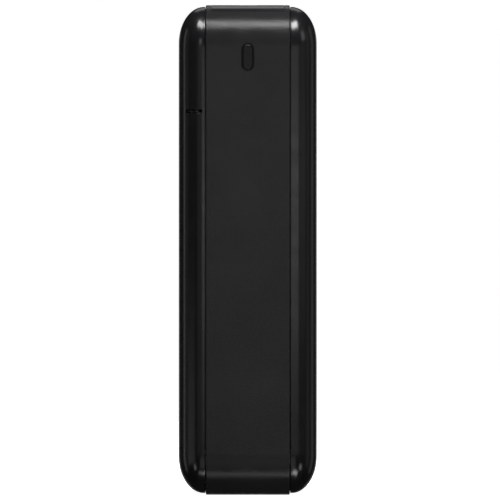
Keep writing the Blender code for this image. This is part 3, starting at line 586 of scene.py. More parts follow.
def add_block(bm: bmesh.types.BMesh, low: Iterable[float], high: Iterable[float], edge: float,
              segments: int = 2) -> Faces:
    """Add a box with rounded edges.

    Args:
        bm: The mesh that takes it.
        low: Its lowest corner.
        high: Its highest corner.
        edge: The rounding's radius.
        segments: The rounding's fineness.

    Returns:
        The box's faces.
    """
    low, high = Vector(low), Vector(high)
    before = set(bm.faces)
    size = high - low
    place = Matrix.Translation((low + high) / 2) @ Matrix.Diagonal((*size, 1.0))
    made = bmesh.ops.create_cube(bm, size=1.0, matrix=place)
    edges = list({e for v in made["verts"] for e in v.link_edges})
    bmesh.ops.bevel(bm, geom=edges, offset=min(edge, min(size) * 0.4), offset_type="OFFSET", affect="EDGES",
                    segments=segments, profile=0.5, material=-1)
    return [face for face in bm.faces if face not in before]


def add_rod(bm: bmesh.types.BMesh, place: Matrix, profile: Section, steps: int = 32) -> None:
    """Add a turned piece: a profile of radius and height, bottom to top, spun about its own axis.

    Args:
        bm: The mesh that takes it.
        place: Where its axis and foot are.
        profile: Points of radius and height, of which the first and last may be on the axis.
        steps: How many sides it has.
    """
    before = set(bm.verts)
    spots = [bm.verts.new((radius, 0.0, height)) for radius, height in profile]
    edges = [bm.edges.new(pair) for pair in zip(spots, spots[1:])]
    bmesh.ops.spin(bm, geom=spots + edges, cent=(0, 0, 0), axis=(0, 0, 1), dvec=(0, 0, 0),
                   angle=2 * math.pi, steps=steps, use_merge=True, use_duplicate=False)
    fresh = [vert for vert in bm.verts if vert not in before]
    bmesh.ops.remove_doubles(bm, verts=fresh, dist=WELD)
    fresh = [vert for vert in bm.verts if vert not in before]
    bmesh.ops.transform(bm, matrix=place, verts=fresh)


def finished_mesh(bm: bmesh.types.BMesh, name: str, place: Matrix = Matrix.Identity(4)) -> bpy.types.Mesh:
    """Weld a shell, face it outward and turn it into a mesh where it belongs.

    Args:
        bm: The shell, which is freed.
        name: The mesh's name.
        place: The turn and move from its own axes to the pack's.

    Returns:
        The mesh.
    """
    bmesh.ops.remove_doubles(bm, verts=bm.verts, dist=WELD)
    bmesh.ops.recalc_face_normals(bm, faces=bm.faces)
    bmesh.ops.transform(bm, matrix=place, verts=bm.verts)
    mesh = bpy.data.meshes.new(name)
    bm.to_mesh(mesh)
    bm.free()
    return mesh


def add_object(name: str, data: bpy.types.ID) -> bpy.types.Object:
    """Put a new object in the scene.

    Args:
        name: The object's name.
        data: Its mesh, light or camera.

    Returns:
        The object.
    """
    thing = bpy.data.objects.new(name, data)
    bpy.context.scene.collection.objects.link(thing)
    return thing


@contextmanager
def edited(mesh: bpy.types.Mesh) -> Iterator[bmesh.types.BMesh]:
    """Open a mesh for editing and write it back afterwards.

    Args:
        mesh: The mesh, changed in place.

    Yields:
        The editable copy of it.
    """
    bm = bmesh.new()
    bm.from_mesh(mesh)
    yield bm
    bm.to_mesh(mesh)
    bm.free()


def smooth_faces(mesh: bpy.types.Mesh) -> None:
    """Shade a mesh smooth, but for its sharp edges."""
    mesh.shade_smooth()
    mesh.set_sharp_from_angle(angle=SHARP)


def cut(mesh: bpy.types.Mesh, cutter: bpy.types.Mesh) -> bpy.types.Mesh:
    """Cut one closed mesh by another.

    Args:
        mesh: The mesh to cut.
        cutter: The mesh that cuts it.

    Returns:
        The cut mesh. The two that went in are removed.
    """
    target, tool = add_object("cut_target", mesh), add_object("cut_tool", cutter)
    boolean = target.modifiers.new("cut", "BOOLEAN")
    boolean.operation = "DIFFERENCE"
    boolean.object = tool
    boolean.solver = "EXACT"
    bpy.context.view_layer.update()
    evaluated = target.evaluated_get(bpy.context.evaluated_depsgraph_get())
    result = bpy.data.meshes.new_from_object(evaluated)
    result.name = mesh.name
    for thing in (target, tool):
        bpy.data.objects.remove(thing, do_unlink=True)
    for old in (mesh, cutter):
        bpy.data.meshes.remove(old)
    return result


def round_rim(mesh: bpy.types.Mesh, on_rim: Callable[[Vector], bool], radius: float,
              segments: int = 3) -> None:
    """Round the sharp edges whose ends both pass a test.

    Args:
        mesh: The mesh, changed in place.
        on_rim: The test of a vertex's place.
        radius: The rounding's radius.
        segments: The rounding's fineness.
    """
    with edited(mesh) as bm:
        bmesh.ops.remove_doubles(bm, verts=bm.verts, dist=WELD)
        rim = [
            edge for edge in bm.edges
            if len(edge.link_faces) == 2 and edge.calc_face_angle() > SHARP
            and all(on_rim(vert.co) for vert in edge.verts)
        ]
        bmesh.ops.bevel(bm, geom=rim, offset=radius, offset_type="OFFSET", affect="EDGES",
                        segments=segments, profile=0.5, material=-1, clamp_overlap=True)


def prism(name: str, half_a: float, half_b: float, corner: float, low: float, high: float,
          place: Matrix, steps: int) -> bpy.types.Mesh:
    """A closed bar of rounded-rectangle section, used as a cutter.

    Args:
        name: The mesh's name.
        half_a: Half its size along local X.
        half_b: Half its size along local Y.
        corner: The corners' radius.
        low: Where it starts along local Z.
        high: Where it ends.
        place: The turn and move to the pack's axes.
        steps: The fineness of each corner.

    Returns:
        The mesh.
    """
    bm = bmesh.new()
    RoundRing(half_a, half_b, corner, steps, WELD).sweep(bm, [(0.0, low), (0.0, high)])
    fill_loops(bm, low)
    fill_loops(bm, high)
    return finished_mesh(bm, name, place)


# ---------------------------------------------------------------------------------------------------
# Pieces


@dataclass
class Assembly:
    """A sub-assembly: it knows the finishes and keeps a list of the pieces that it made."""

    wardrobe: Wardrobe
    pieces: list[bpy.types.Object] = field(default_factory=list)

    def piece(self, name: str, mesh: bpy.types.Mesh, slot: str, body: Body, replaced: Iterable[str],
              extra: Iterable[bpy.types.Material] = ()) -> bpy.types.Object:
        """Make a finished mesh a piece of the pack.

        Args:
            name: The piece's name.
            mesh: Its mesh, in place.
            slot: The record's slot for its finish.
            body: The body that it rides on.
            replaced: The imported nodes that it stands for.
            extra: Materials after the first, for faces with a material index.

        Returns:
            The piece's object.
        """
        mesh.name = name
        smooth_faces(mesh)
        mesh.materials.clear()
        for material in (self.wardrobe.material(slot), *extra):
            mesh.materials.append(material)
        thing = add_object(name, mesh)
        weighted = thing.modifiers.new("flat_normals", "WEIGHTED_NORMAL")
        weighted.keep_sharp = True
        weighted.weight = 100
        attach(thing, body.value)
        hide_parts(*replaced)
        self.pieces.append(thing)
        LOG.info("%s: %d faces, %s", name, len(mesh.polygons), slot)
        return thing


@dataclass
class Casing(Assembly):
    """The band round the pack and the two satin covers that close it."""

    wall: float = 0.0019
    corner: float = 0.0120
    edge: float = 0.0004
    cover_wall: float = 0.0018
    cover_land: float = 0.0002
    cover_face_corner: float = 0.0009
    cover_rim: float = 0.00022
    seam_fill: float = 0.0002
    pocket_gap: float = 0.00006
    hole_width: float = 0.0038
    hole_length: float = 0.0083
    hole_rim: float = 0.00010
    hole_steps: int = 20
    face_inset: float = 0.0006
    slot_rim: float = 0.00020
    slot_corner: float = 0.00012
    soft_edge: float = 0.0002
    slot_height: float = 0.0011
    slot_start: float = 0.0007
    slot_end: float = 0.0022
    slot_depth: float = 0.0110
    lip_thick: float = 0.0012
    lip_reach: float = 0.0018
    lip_root: float = 0.0025
    rib_thick: float = 0.0012
    rib_half: float = 0.0013
    bracket_reach: float = 0.0055
    bracket_half: float = 0.00235
    post_radius: float = 0.0018
    panel_thick: float = 0.0008
    opening_margin: float = 0.0008
    opening_walls: float = 2.4
    opening_edge: float = 0.0003
    gap: float = 0.0003

    def build(self) -> None:
        """Make the band and both covers."""
        self.band()
        self.cover("front_cover", Facing.LEFT)
        self.cover("rear_cover", Facing.RIGHT)

    def ring_place(self, low: Vector, high: Vector, facing: Facing, from_x: float) -> Matrix:
        """The move from a ring's own axes to a band or cover of the pack.

        Args:
            low: The piece's lowest corner.
            high: Its highest corner.
            facing: Where the ring's +Z points.
            from_x: Where the ring's zero height lies along X.

        Returns:
            The matrix.
        """
        middle = (low + high) / 2
        return Matrix.Translation((from_x, middle.y, middle.z)) @ TURNS[facing]

    def band(self) -> None:
        """The matte band, with the button's hole, the ports' opening, brackets and posts."""
        low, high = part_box("mid_frame")
        half_y, half_z, half_x = (high.y - low.y) / 2, (high.z - low.z) / 2, high.x
        bm = bmesh.new()
        inner = self.wall
        section = quarter(self.edge, self.edge, self.edge, half_x - self.edge, 5)
        section += [(inner - self.edge / 2, half_x), (inner, half_x - self.edge / 2)]
        section += [(inset, -height) for inset, height in reversed(section)]
        ring = RoundRing(half_y, half_z, self.corner, CORNER_STEPS)
        ring.sweep(bm, section, closed=True)
        mesh = finished_mesh(bm, "mid_frame_fine", self.ring_place(low, high, Facing.RIGHT, 0.0))

        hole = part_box("power_button")
        button_z = (hole[0].z + hole[1].z) / 2
        stadium = prism(
            "hole_cutter", self.hole_width / 2, self.hole_length / 2, self.hole_width / 2,
            -low.y - self.wall - self.edge, -low.y + self.edge,
            Matrix.Translation((0.0, 0.0, button_z)) @ TURNS[Facing.FRONT], self.hole_steps,
        )
        mesh = cut(mesh, stadium)

        def on_hole(co: Vector) -> bool:
            """Whether a point is on the outer rim of the button's hole."""
            near = abs(co.x) < self.hole_width and abs(co.z - button_z) < self.hole_length
            return near and abs(co.y - low.y) < TINY

        round_rim(mesh, on_hole, self.hole_rim, 4)
        mesh = self.pocketed(mesh, high)
        with edited(mesh) as bm:
            self.add_brackets(bm, low, high)
            self.add_posts(bm, low, button_z)
        self.piece("matte_band", mesh, "frame_plastic", Body.CASE, ["mid_frame"])

    def pocketed(self, mesh: bpy.types.Mesh, high: Vector) -> bpy.types.Mesh:
        """Cut the port panel's pocket and the opening for the sockets into the band's top end.

        Args:
            mesh: The band's mesh.
            high: Its highest corner.

        Returns:
            The mesh with both cuts.
        """
        _, panel_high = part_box("port_panel")
        depth = self.panel_thick + self.gap
        tool = wrapped_strip(
            "pocket_cutter", high, self.corner, panel_high.x + self.pocket_gap,
            panel_high.y + self.pocket_gap, depth, -self.gap, 0.0,
        )
        mesh = cut(mesh, tool)
        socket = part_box("usb_a_2_shell")
        bm = bmesh.new()
        margin = self.opening_margin
        reach = socket[1].y + margin
        add_block(
            bm, (socket[0].x - margin, -reach, high.z - self.opening_walls * self.wall),
            (socket[1].x + margin, reach, high.z + self.gap), self.opening_edge,
        )
        return cut(mesh, finished_mesh(bm, "opening_cutter"))

    def add_brackets(self, bm: bmesh.types.BMesh, low: Vector, high: Vector) -> None:
        """Add the two brackets that carry the main board.

        Args:
            bm: The band's mesh.
            low: The band's lowest corner.
            high: Its highest corner.
        """
        board_low, board_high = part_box("main_board")
        top = board_low.x - self.gap
        back = low.x + self.lip_reach + self.gap
        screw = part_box("main_board_screw_1")
        middle = (screw[0].z + screw[1].z) / 2
        for side in (-1, 1):
            ends = sorted((side * (board_high.y - self.bracket_reach), side * (high.y - self.wall / 2)))
            add_block(bm, (back, ends[0], middle - self.bracket_half),
                      (top, ends[1], middle + self.bracket_half), self.soft_edge)

    def add_posts(self, bm: bmesh.types.BMesh, low: Vector, button_z: float) -> None:
        """Add the two posts that carry the button's board.

        Args:
            bm: The band's mesh.
            low: The band's lowest corner.
            button_z: The button's height.
        """
        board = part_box("button_board")
        radius, edge = self.post_radius, self.soft_edge
        length = board[0].y - self.gap - (low.y + self.wall / 2)
        profile = [(0.0, 0.0), (radius - edge, 0.0), (radius, edge), (radius, length), (0.0, length)]
        for side in (-1, 1):
            x = side * (-low.x - self.lip_reach - self.gap - radius)
            place = Matrix.Translation((x, low.y + self.wall / 2 + length, button_z)) @ TURNS[Facing.FRONT]
            add_rod(bm, place, profile)

    def cover(self, node: str, facing: Facing) -> None:
        """One satin cover: an elliptic edge that runs into a flat face, with its lips inside.

        Args:
            node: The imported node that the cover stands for.
            facing: Which way its face points.
        """
        low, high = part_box(node)
        band_low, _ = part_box("mid_frame")
        seam = -band_low.x + self.gap
        depth = max(-low.x, high.x) - seam
        corner = self.corner - (low.y - band_low.y)
        run = corner - self.cover_face_corner
        rise = depth - self.cover_land
        rim = self.cover_rim
        section = quarter(run - self.cover_wall, rise - self.cover_wall, run, self.cover_land, INNER_STEPS)
        section.reverse()
        foot = -self.seam_fill
        section += [(self.cover_wall, foot + rim / 2), (self.cover_wall - rim / 2, foot)]
        section += quarter(rim, rim, rim, foot + rim, 4, -90.0, 0.0)
        section += quarter(run, rise, run, self.cover_land, COVER_STEPS)
        bm = bmesh.new()
        ring = RoundRing((high.y - low.y) / 2, (high.z - low.z) / 2, corner, CORNER_STEPS)
        ring.sweep(bm, section)
        outer = fill_loops(bm, depth)
        bmesh.ops.inset_region(bm, faces=outer, thickness=self.face_inset, use_even_offset=True)
        fill_loops(bm, depth - self.cover_wall)
        from_x = -seam if facing is Facing.LEFT else seam
        mesh = finished_mesh(bm, node + "_fine", self.ring_place(low, high, facing, from_x))
        if facing is Facing.LEFT:
            mesh = self.slotted(mesh, seam, depth)
        with edited(mesh) as bm:
            self.add_lips(bm, facing, seam)
            if facing is Facing.LEFT:
                self.add_ribs(bm, seam, depth)
        name = "slotted_front_cover" if facing is Facing.LEFT else "plain_rear_cover"
        self.piece(name, mesh, "cover_plastic", Body.CASE, [node])

    def slotted(self, mesh: bpy.types.Mesh, seam: float, depth: float) -> bpy.types.Mesh:
        """Cut the indicator's slot into the front cover and round its lips.

        Args:
            mesh: The cover's mesh.
            seam: Where the cover starts, along X.
            depth: How thick the cover is.

        Returns:
            The mesh with the slot.
        """
        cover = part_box("front_cover")
        slot_low, slot_high = self.slot_span()
        near, far = seam + self.slot_start, seam + depth - self.slot_end
        bm = bmesh.new()
        add_block(bm, (-far, cover[0].y - self.wall, slot_low),
                  (-near, cover[0].y + self.slot_depth, slot_high), self.slot_corner)
        mesh = cut(mesh, finished_mesh(bm, "slot_cutter"))

        def on_lip(co: Vector) -> bool:
            """Whether a point is on the slot's outer lip."""
            level = slot_low - TINY < co.z < slot_high + TINY
            inside = level and -far - TINY < co.x < -near + TINY
            across = (-co.x - seam - self.cover_land) / (depth - self.cover_land)
            run = self.corner - (cover[0].y + self.half_width()) - self.cover_face_corner
            surface = cover[0].y + run * (1.0 - math.sqrt(max(0.0, 1.0 - across * across)))
            return inside and abs(co.y - surface) < 8 * TINY

        round_rim(mesh, on_lip, self.slot_rim, 3)
        return mesh

    def slot_span(self) -> tuple[float, float]:
        """The slot's lowest and highest levels."""
        low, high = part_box("light_guide")
        middle = (low.z + high.z) / 2
        return middle - self.slot_height / 2, middle + self.slot_height / 2

    def half_width(self) -> float:
        """Half the band's width."""
        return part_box("mid_frame")[1].y

    def add_lips(self, bm: bmesh.types.BMesh, facing: Facing, seam: float) -> None:
        """Add the locating lips that reach from a cover into the band.

        Args:
            bm: The cover's mesh.
            facing: Which way the cover's face points.
            seam: Where the cover starts, along X.
        """
        _, band_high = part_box("mid_frame")
        side = -1 if facing is Facing.LEFT else 1
        xs = sorted((side * (seam + self.lip_root), side * (seam - self.gap - self.lip_reach)))
        outer = self.wall + self.gap
        inner = outer + self.lip_thick
        bend = self.corner + self.lip_thick
        half_y, top = band_high.y, band_high.z
        lips = [
            (xs, half_y - inner, half_y - outer, bend, top - bend),
            (xs, -half_y + bend, half_y - bend, outer, inner),
            (xs, -half_y + bend, half_y - bend, top - inner, top - outer),
        ]
        front = (-half_y + outer, -half_y + inner)
        if facing is Facing.LEFT:
            slot_low, slot_high = self.slot_span()
            past_slot = (-(seam + self.slot_start), xs[1])
            lips += [(xs, *front, bend, slot_low), (past_slot, *front, slot_low, slot_high),
                     (xs, *front, slot_high, top - bend)]
        else:
            lips.append((xs, *front, bend, top - bend))
        for across, low_y, high_y, low_z, high_z in lips:
            add_block(bm, (across[0], low_y, low_z), (across[1], high_y, high_z), self.soft_edge)

    def add_ribs(self, bm: bmesh.types.BMesh, seam: float, depth: float) -> None:
        """Add the two ribs that hold the indicator's board.

        Args:
            bm: The front cover's mesh.
            seam: Where the cover starts, along X.
            depth: How thick the cover is.
        """
        board_low, board_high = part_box("indicator_board")
        middle_y = (board_low.y + board_high.y) / 2
        for edge, side in ((board_high.z + self.gap, 1), (board_low.z - self.gap, -1)):
            zs = sorted((edge, edge + side * self.rib_thick))
            add_block(bm, (-(seam + depth - self.cover_wall / 2), middle_y - self.rib_half, zs[0]),
                      (-(seam + self.slot_start), middle_y + self.rib_half, zs[1]), self.soft_edge)


def wrapped_strip(name: str, high: Vector, corner: float, half_x: float, half_y: float, depth: float,
                  proud: float, edge: float) -> bpy.types.Mesh:
    """A strip that follows the band's outline over the top end and part of the way round its corners.

    Args:
        name: The mesh's name.
        high: The band's highest corner.
        corner: The outline's corner radius.
        half_x: Half the strip's width across the band.
        half_y: How far each end reaches from the middle.
        depth: How deep it lies below the outline.
        proud: How far below the outline its outer surface is, or above it where negative.
        edge: The rounding of its outer long edges, or nothing.

    Returns:
        The closed mesh, in place.
    """
    bend = high.y - corner
    angle = math.asin(min(1.0, (half_y - bend) / corner))
    bm = bmesh.new()
    if edge:
        rounding = quarter(edge, edge, proud + edge, half_x - edge, 5)
        section = [(-across, inset) for inset, across in reversed(rounding)]
        section += [(-x, inset) for x, inset in reversed(section)]
    else:
        section = [(-half_x, proud), (half_x, proud)]
    outline = [(-half_x, depth)] + section + [(half_x, depth)]
    spots = [bm.verts.new((x, -bend, high.z - inset)) for x, inset in outline]
    face = bm.faces.new(spots)
    centre = Vector((0.0, -bend, high.z - corner))
    bmesh.ops.rotate(bm, cent=centre, matrix=Matrix.Rotation(angle, 3, "X"), verts=bm.verts)
    edges = list(face.edges)
    turned = bmesh.ops.spin(bm, geom=spots + edges + [face], cent=centre, axis=(1, 0, 0), dvec=(0, 0, 0),
                            angle=-angle, steps=BEND_STEPS, use_merge=False, use_duplicate=False)
    last = of_kind(turned["geom_last"], bmesh.types.BMFace)
    made = bmesh.ops.extrude_face_region(bm, geom=last)["geom"]
    bmesh.ops.delete(bm, geom=last, context="FACES_ONLY")
    moved = of_kind(made, bmesh.types.BMVert)
    bmesh.ops.translate(bm, vec=(0.0, 2 * bend, 0.0), verts=moved)
    last = of_kind(made, bmesh.types.BMFace)
    rims = list({edge for f in last for edge in f.edges})
    bmesh.ops.spin(bm, geom=moved + rims + last, cent=(0.0, bend, high.z - corner), axis=(1, 0, 0),
                   dvec=(0, 0, 0), angle=-angle, steps=BEND_STEPS, use_merge=False, use_duplicate=False)
    return finished_mesh(bm, name)


@dataclass
class PowerButton(Assembly):
    """The round-ended cap, with the flange that keeps it in the band."""

    side_gap: float = 0.00050
    flange_thick: float = 0.0008
    flange_lip: float = 0.0009
    flange_edge: float = 0.0001
    foot_edge: float = 0.0002
    face_inset: float = 0.0001
    edge: float = 0.00032

    def build(self) -> None:
        """Make the button."""
        low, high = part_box("power_button")
        flange_a, flange_b = (high.x - low.x) / 2, (high.z - low.z) / 2
        half_a = flange_a - self.flange_lip - self.side_gap
        height = high.y - low.y
        step = flange_a - half_a
        thick, edge = self.flange_thick, self.flange_edge
        section = [(self.foot_edge, 0.0), (0.0, self.foot_edge), (0.0, thick - edge), (edge, thick),
                   (step, thick)]
        section += [(step + inset, level) for inset, level in
                    quarter(self.edge, self.edge, self.edge, height - self.edge, 6)]
        bm = bmesh.new()
        ring = RoundRing(flange_a, flange_b, flange_a, 24)
        ring.sweep(bm, section)
        face = fill_loops(bm, height)
        bmesh.ops.inset_region(bm, faces=face, thickness=self.face_inset, use_even_offset=True)
        fill_loops(bm, 0.0)
        place = Matrix.Translation((0.0, high.y, (low.z + high.z) / 2)) @ TURNS[Facing.FRONT]
        mesh = finished_mesh(bm, "button_cap", place)
        self.piece("button_cap", mesh, "button_plastic", Body.BUTTON, ["power_button"])


@dataclass(frozen=True)
class TongueShape:
    """How a socket's tongue differs between the wide and the narrow kind."""

    blade_share: float
    shift_share: float
    side_gap: float
    contacts: int
    contact_width: float
    sides: tuple[int, ...]


WIDE_TONGUE = TongueShape(0.30, 0.28, 0.0004, 4, 0.0010, (-1,))
NARROW_TONGUE = TongueShape(0.20, 0.0, 0.0009, 12, 0.00026, (-1, 1))


@dataclass
class Ports(Assembly):
    """The smooth panel in the top end and the three sockets behind it."""

    panel_thick: float = 0.0008
    panel_edge: float = 0.00018
    mouth_rim: float = 0.00016
    corner: float = 0.0120
    shell_wall: float = 0.0003
    mouth_lip: float = 0.0001
    mouth_steps: int = 10
    leaf_thick: float = 0.00022
    leaf_half: float = 0.0011
    leaf_edge: float = 0.00008
    leaf_bend: float = 0.00018
    leaf_start: float = 0.42
    leaf_end: float = 0.86
    leaf_tip: float = 0.7
    root_share: float = 0.26
    root_edge: float = 0.00015
    blade_foot: float = 0.8
    blade_edge: float = 0.00022
    contact_edge: float = 0.00003
    contact_sunk: float = 0.00005
    contact_proud: float = 0.00008
    contact_end: float = 0.9
    row_share: float = 0.84

    def build(self) -> None:
        """Make the panel, the shells and the tongues."""
        self.panel()
        for name in ("usb_a_1", "usb_a_2", "usb_c"):
            self.shell(name)
            self.tongue(name)

    def shell_ring(self, name: str) -> tuple[Vector, Vector, float]:
        """A socket shell's box and the radius of its corners.

        Args:
            name: The socket's name.

        Returns:
            Its lowest corner, its highest corner and the radius.
        """
        low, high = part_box(name + "_shell")
        corner = (high.x - low.x) / 2 if name == "usb_c" else 2 * self.shell_wall
        return low, high, corner

    def panel(self) -> None:
        """The polished strip, with a mouth for each socket."""
        _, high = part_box("mid_frame")
        _, panel_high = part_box("port_panel")
        mesh = wrapped_strip("panel_fine", high, self.corner, panel_high.x, panel_high.y,
                             self.panel_thick, 0.0, self.panel_edge)
        inset = self.shell_wall - self.mouth_lip
        for name in ("usb_a_1", "usb_a_2", "usb_c"):
            s_low, s_high, corner = self.shell_ring(name)
            middle = (s_low + s_high) / 2
            half_x, half_y = (s_high.x - s_low.x) / 2 - inset, (s_high.y - s_low.y) / 2 - inset
            tool = prism(name + "_mouth", half_x, half_y, min(corner - inset / 2, half_x),
                         high.z - 3 * self.panel_thick, high.z + self.panel_thick,
                         Matrix.Translation((middle.x, middle.y, 0.0)), self.mouth_steps)
            mesh = cut(mesh, tool)
            bend = high.y - self.corner

            def on_mouth(co: Vector) -> bool:
                """Whether a point is on the outer rim of this mouth."""
                near = abs(co.x - middle.x) < half_x + TINY and abs(co.y - middle.y) < half_y + TINY
                past = max(0.0, abs(co.y) - bend)
                top = high.z - self.corner + math.sqrt(self.corner ** 2 - past ** 2)
                return near and abs(co.z - top) < 3 * TINY

            round_rim(mesh, on_mouth, self.mouth_rim, 3)
        self.piece("polished_port_panel", mesh, "panel_plastic", Body.CASE, ["port_panel"])

    def shell(self, name: str) -> None:
        """One folded steel shell, with rolled mouth edges and, in the wide sockets, spring leaves.

        Args:
            name: The socket's name.
        """
        low, high, corner = self.shell_ring(name)
        middle = (low + high) / 2
        half_x, half_y = (high.x - low.x) / 2, (high.y - low.y) / 2
        depth = high.z - low.z
        wall, lip = self.shell_wall, self.mouth_lip
        section = [(0.0, lip), (0.0, depth - lip), (lip, depth), (wall - lip, depth), (wall, depth - lip),
                   (wall, lip), (wall - lip, 0.0), (lip, 0.0)]
        bm = bmesh.new()
        RoundRing(half_x, half_y, corner, self.mouth_steps, lip).sweep(bm, section, closed=True)
        place = Matrix.Translation((middle.x, middle.y, low.z))
        if name != "usb_c":
            self.add_leaves(bm, half_x, half_y, depth)
        mesh = finished_mesh(bm, name + "_sleeve", place)
        self.piece(name + "_sleeve", mesh, "connector_steel", Body.CASE, [name + "_shell"])

    def add_leaves(self, bm: bmesh.types.BMesh, half_x: float, half_y: float, depth: float) -> None:
        """Add the spring leaves that press on a plug.

        Args:
            bm: The shell's mesh, with its foot at zero height.
            half_x: Half the shell's height.
            half_y: Half its width.
            depth: Its depth.
        """
        inside = half_x - self.shell_wall
        for side in (-1, 1):
            xs = sorted((side * (inside + TINY), side * (inside - self.leaf_thick)))
            for y in (-half_y / 2, half_y / 2):
                faces = add_block(bm, (xs[0], y - self.leaf_half, depth * self.leaf_start),
                                  (xs[1], y + self.leaf_half, depth * self.leaf_end), self.leaf_edge)
                tip = {v for f in faces for v in f.verts if v.co.z > depth * self.leaf_tip}
                bmesh.ops.translate(bm, vec=(-side * self.leaf_bend, 0.0, 0.0), verts=list(tip))

    def tongue(self, name: str) -> None:
        """One socket's tongue on its root block, with plated contacts along the blade.

        Args:
            name: The socket's name.
        """
        low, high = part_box(name + "_tongue")
        middle = (low + high) / 2
        shape = NARROW_TONGUE if name == "usb_c" else WIDE_TONGUE
        half_x = (high.x - low.x) / 2
        depth = high.z - low.z
        shell_low, shell_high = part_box(name + "_shell")
        shell_half = (shell_high.x - shell_low.x) / 2
        blade, shift = shell_half * shape.blade_share, shell_half * shape.shift_share
        root = depth * self.root_share
        bm = bmesh.new()
        add_block(bm, (-half_x, low.y - middle.y, 0.0), (half_x, high.y - middle.y, root), self.root_edge)
        inner_y = (high.y - low.y) / 2 - shape.side_gap
        add_block(bm, (shift - blade, -inner_y, root * self.blade_foot), (shift + blade, inner_y, depth),
                  self.blade_edge, 3)
        plastic = set(bm.faces)
        pitch = 2 * inner_y * self.row_share / shape.contacts
        half_contact = shape.contact_width / 2
        for side in shape.sides:
            reaches = (blade - self.contact_sunk, blade + self.contact_proud)
            xs = sorted(shift + side * reach for reach in reaches)
            for number in range(shape.contacts):
                y = (number - (shape.contacts - 1) / 2) * pitch
                add_block(bm, (xs[0], y - half_contact, root),
                          (xs[1], y + half_contact, depth * self.contact_end), self.contact_edge)
        for face in bm.faces:
            face.material_index = 0 if face in plastic else 1
        mesh = finished_mesh(bm, name + "_blade", Matrix.Translation((middle.x, middle.y, low.z)))
        self.piece(name + "_blade", mesh, "connector_tongue", Body.CASE, [name + "_tongue"],
                   [self.wardrobe.gold()])


@dataclass
class Indicator(Assembly):
    """The smoked light guide in the front cover's slot."""

    edge: float = 0.00012
    lens: float = 0.00035
    lens_half: float = 0.0006

    def build(self) -> None:
        """Make the guide, with a shallow lens in front of each diode."""
        low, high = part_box("light_guide")
        bm = bmesh.new()
        add_block(bm, (low.x, low.y + self.lens, low.z), (high.x, high.y, high.z), self.edge, 3)
        for number in (1, 2, 3):
            led_low, led_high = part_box(f"status_led_{number}")
            x = (led_low.x + led_high.x) / 2
            add_block(bm, (x - self.lens_half, low.y, low.z + self.edge),
                      (x + self.lens_half, low.y + 2 * self.lens, high.z - self.edge), self.lens, 4)
        mesh = finished_mesh(bm, "guide_fine")
        self.piece("slot_light_guide", mesh, "smoked_guide", Body.CASE, ["light_guide"])


@dataclass
class Interior(Assembly):
    """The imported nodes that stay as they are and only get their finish."""

    def build(self) -> None:
        """Give every node that still shows its slot's material."""
        for entry in frame["record"]["subparts"]:
            thing = frame["nodes"][entry["node"]]
            if thing.hide_render:
                continue
            slot = entry["material_slot"]
            thing.data.materials.clear()
            thing.data.materials.append(self.wardrobe.material(slot))
            LOG.info("%s: %s", entry["node"], slot)


# ---------------------------------------------------------------------------------------------------
# Studio


@dataclass(frozen=True)
class SoftBox:
    """A soft light: where it stands, seen from the pack's middle, how large and how bright it is."""

    name: str
    azimuth: float
    elevation: float
    distance: float
    width: float
    height: float
    radiance: float

    def place(self, centre: Vector) -> bpy.types.Object:
        """Put the light in the scene, facing a point.

        Args:
            centre: The point that it faces.

        Returns:
            The light's object.
        """
        lamp = bpy.data.lights.new(self.name, "AREA")
        lamp.shape = "RECTANGLE"
        lamp.size, lamp.size_y = self.width, self.height
        lamp.energy = self.radiance * math.pi * self.width * self.height
        a, e = math.radians(self.azimuth), math.radians(self.elevation)
        out = Vector((math.sin(a) * math.cos(e), -math.cos(a) * math.cos(e), math.sin(e)))
        thing = add_object(self.name, lamp)
        thing.location = centre + out * self.distance
        thing.rotation_euler = out.to_track_quat("Z", "Y").to_euler()
        thing.visible_camera = False
        return thing


# Azimuth 0 is the camera's side and positive is towards the rear cover
SOFT_BOXES = (
    SoftBox("top_left", -38.0, 63.5, 0.60, 0.30, 0.19, 14.0),
    SoftBox("side_fill", 75.0, 25.0, 1.20, 0.40, 0.40, 1.2),
    SoftBox("top_right", 34.0, 62.5, 0.60, 0.30, 0.19, 19.0),
    SoftBox("crown", -22.0, 18.0, 0.60, 0.15, 0.13, 1.6),
    SoftBox("top_back", 180.0, 45.0, 0.60, 0.40, 0.20, 0.7),
    SoftBox("front_box", 16.0, 1.2, 0.85, 0.90, 0.09, 1.50),
    SoftBox("front_left", -27.0, 2.0, 0.80, 0.40, 0.24, 0.15),
    SoftBox("front_right", 64.0, 2.0, 0.70, 0.50, 0.10, 0.30),
    SoftBox("strip_left", -117.0, 0.0, 0.60, 0.09, 0.60, 0.48),
    SoftBox("strip_right", 124.0, 0.0, 0.60, 0.16, 0.60, 0.20),
    SoftBox("side_left", -100.0, 0.0, 0.60, 0.10, 0.60, 0.10),
    SoftBox("side_right", 97.0, 0.0, 0.60, 0.18, 0.60, 0.14),
    SoftBox("back_left", -169.0, -8.0, 1.00, 0.42, 0.60, 0.28),
    SoftBox("back_right", 169.0, -8.0, 1.00, 0.42, 0.60, 0.28),
    SoftBox("low_panel", -75.0, -14.0, 0.60, 0.40, 0.22, 0.35),
    SoftBox("low_fill", 0.0, -30.0, 0.60, 0.50, 0.34, 0.42),
    SoftBox("low_left", -35.0, -55.0, 0.60, 0.16, 0.10, 1.5),
    SoftBox("low_middle", 0.0, -60.0, 0.60, 0.24, 0.07, 3.0),
    SoftBox("low_right", 33.0, -55.0, 0.60, 0.22, 0.12, 6.5),
    SoftBox("low_side_left", -62.0, -35.0, 0.60, 0.12, 0.12, 1.6),
    SoftBox("low_side_right", 62.0, -35.0, 0.60, 0.12, 0.12, 2.6),
)


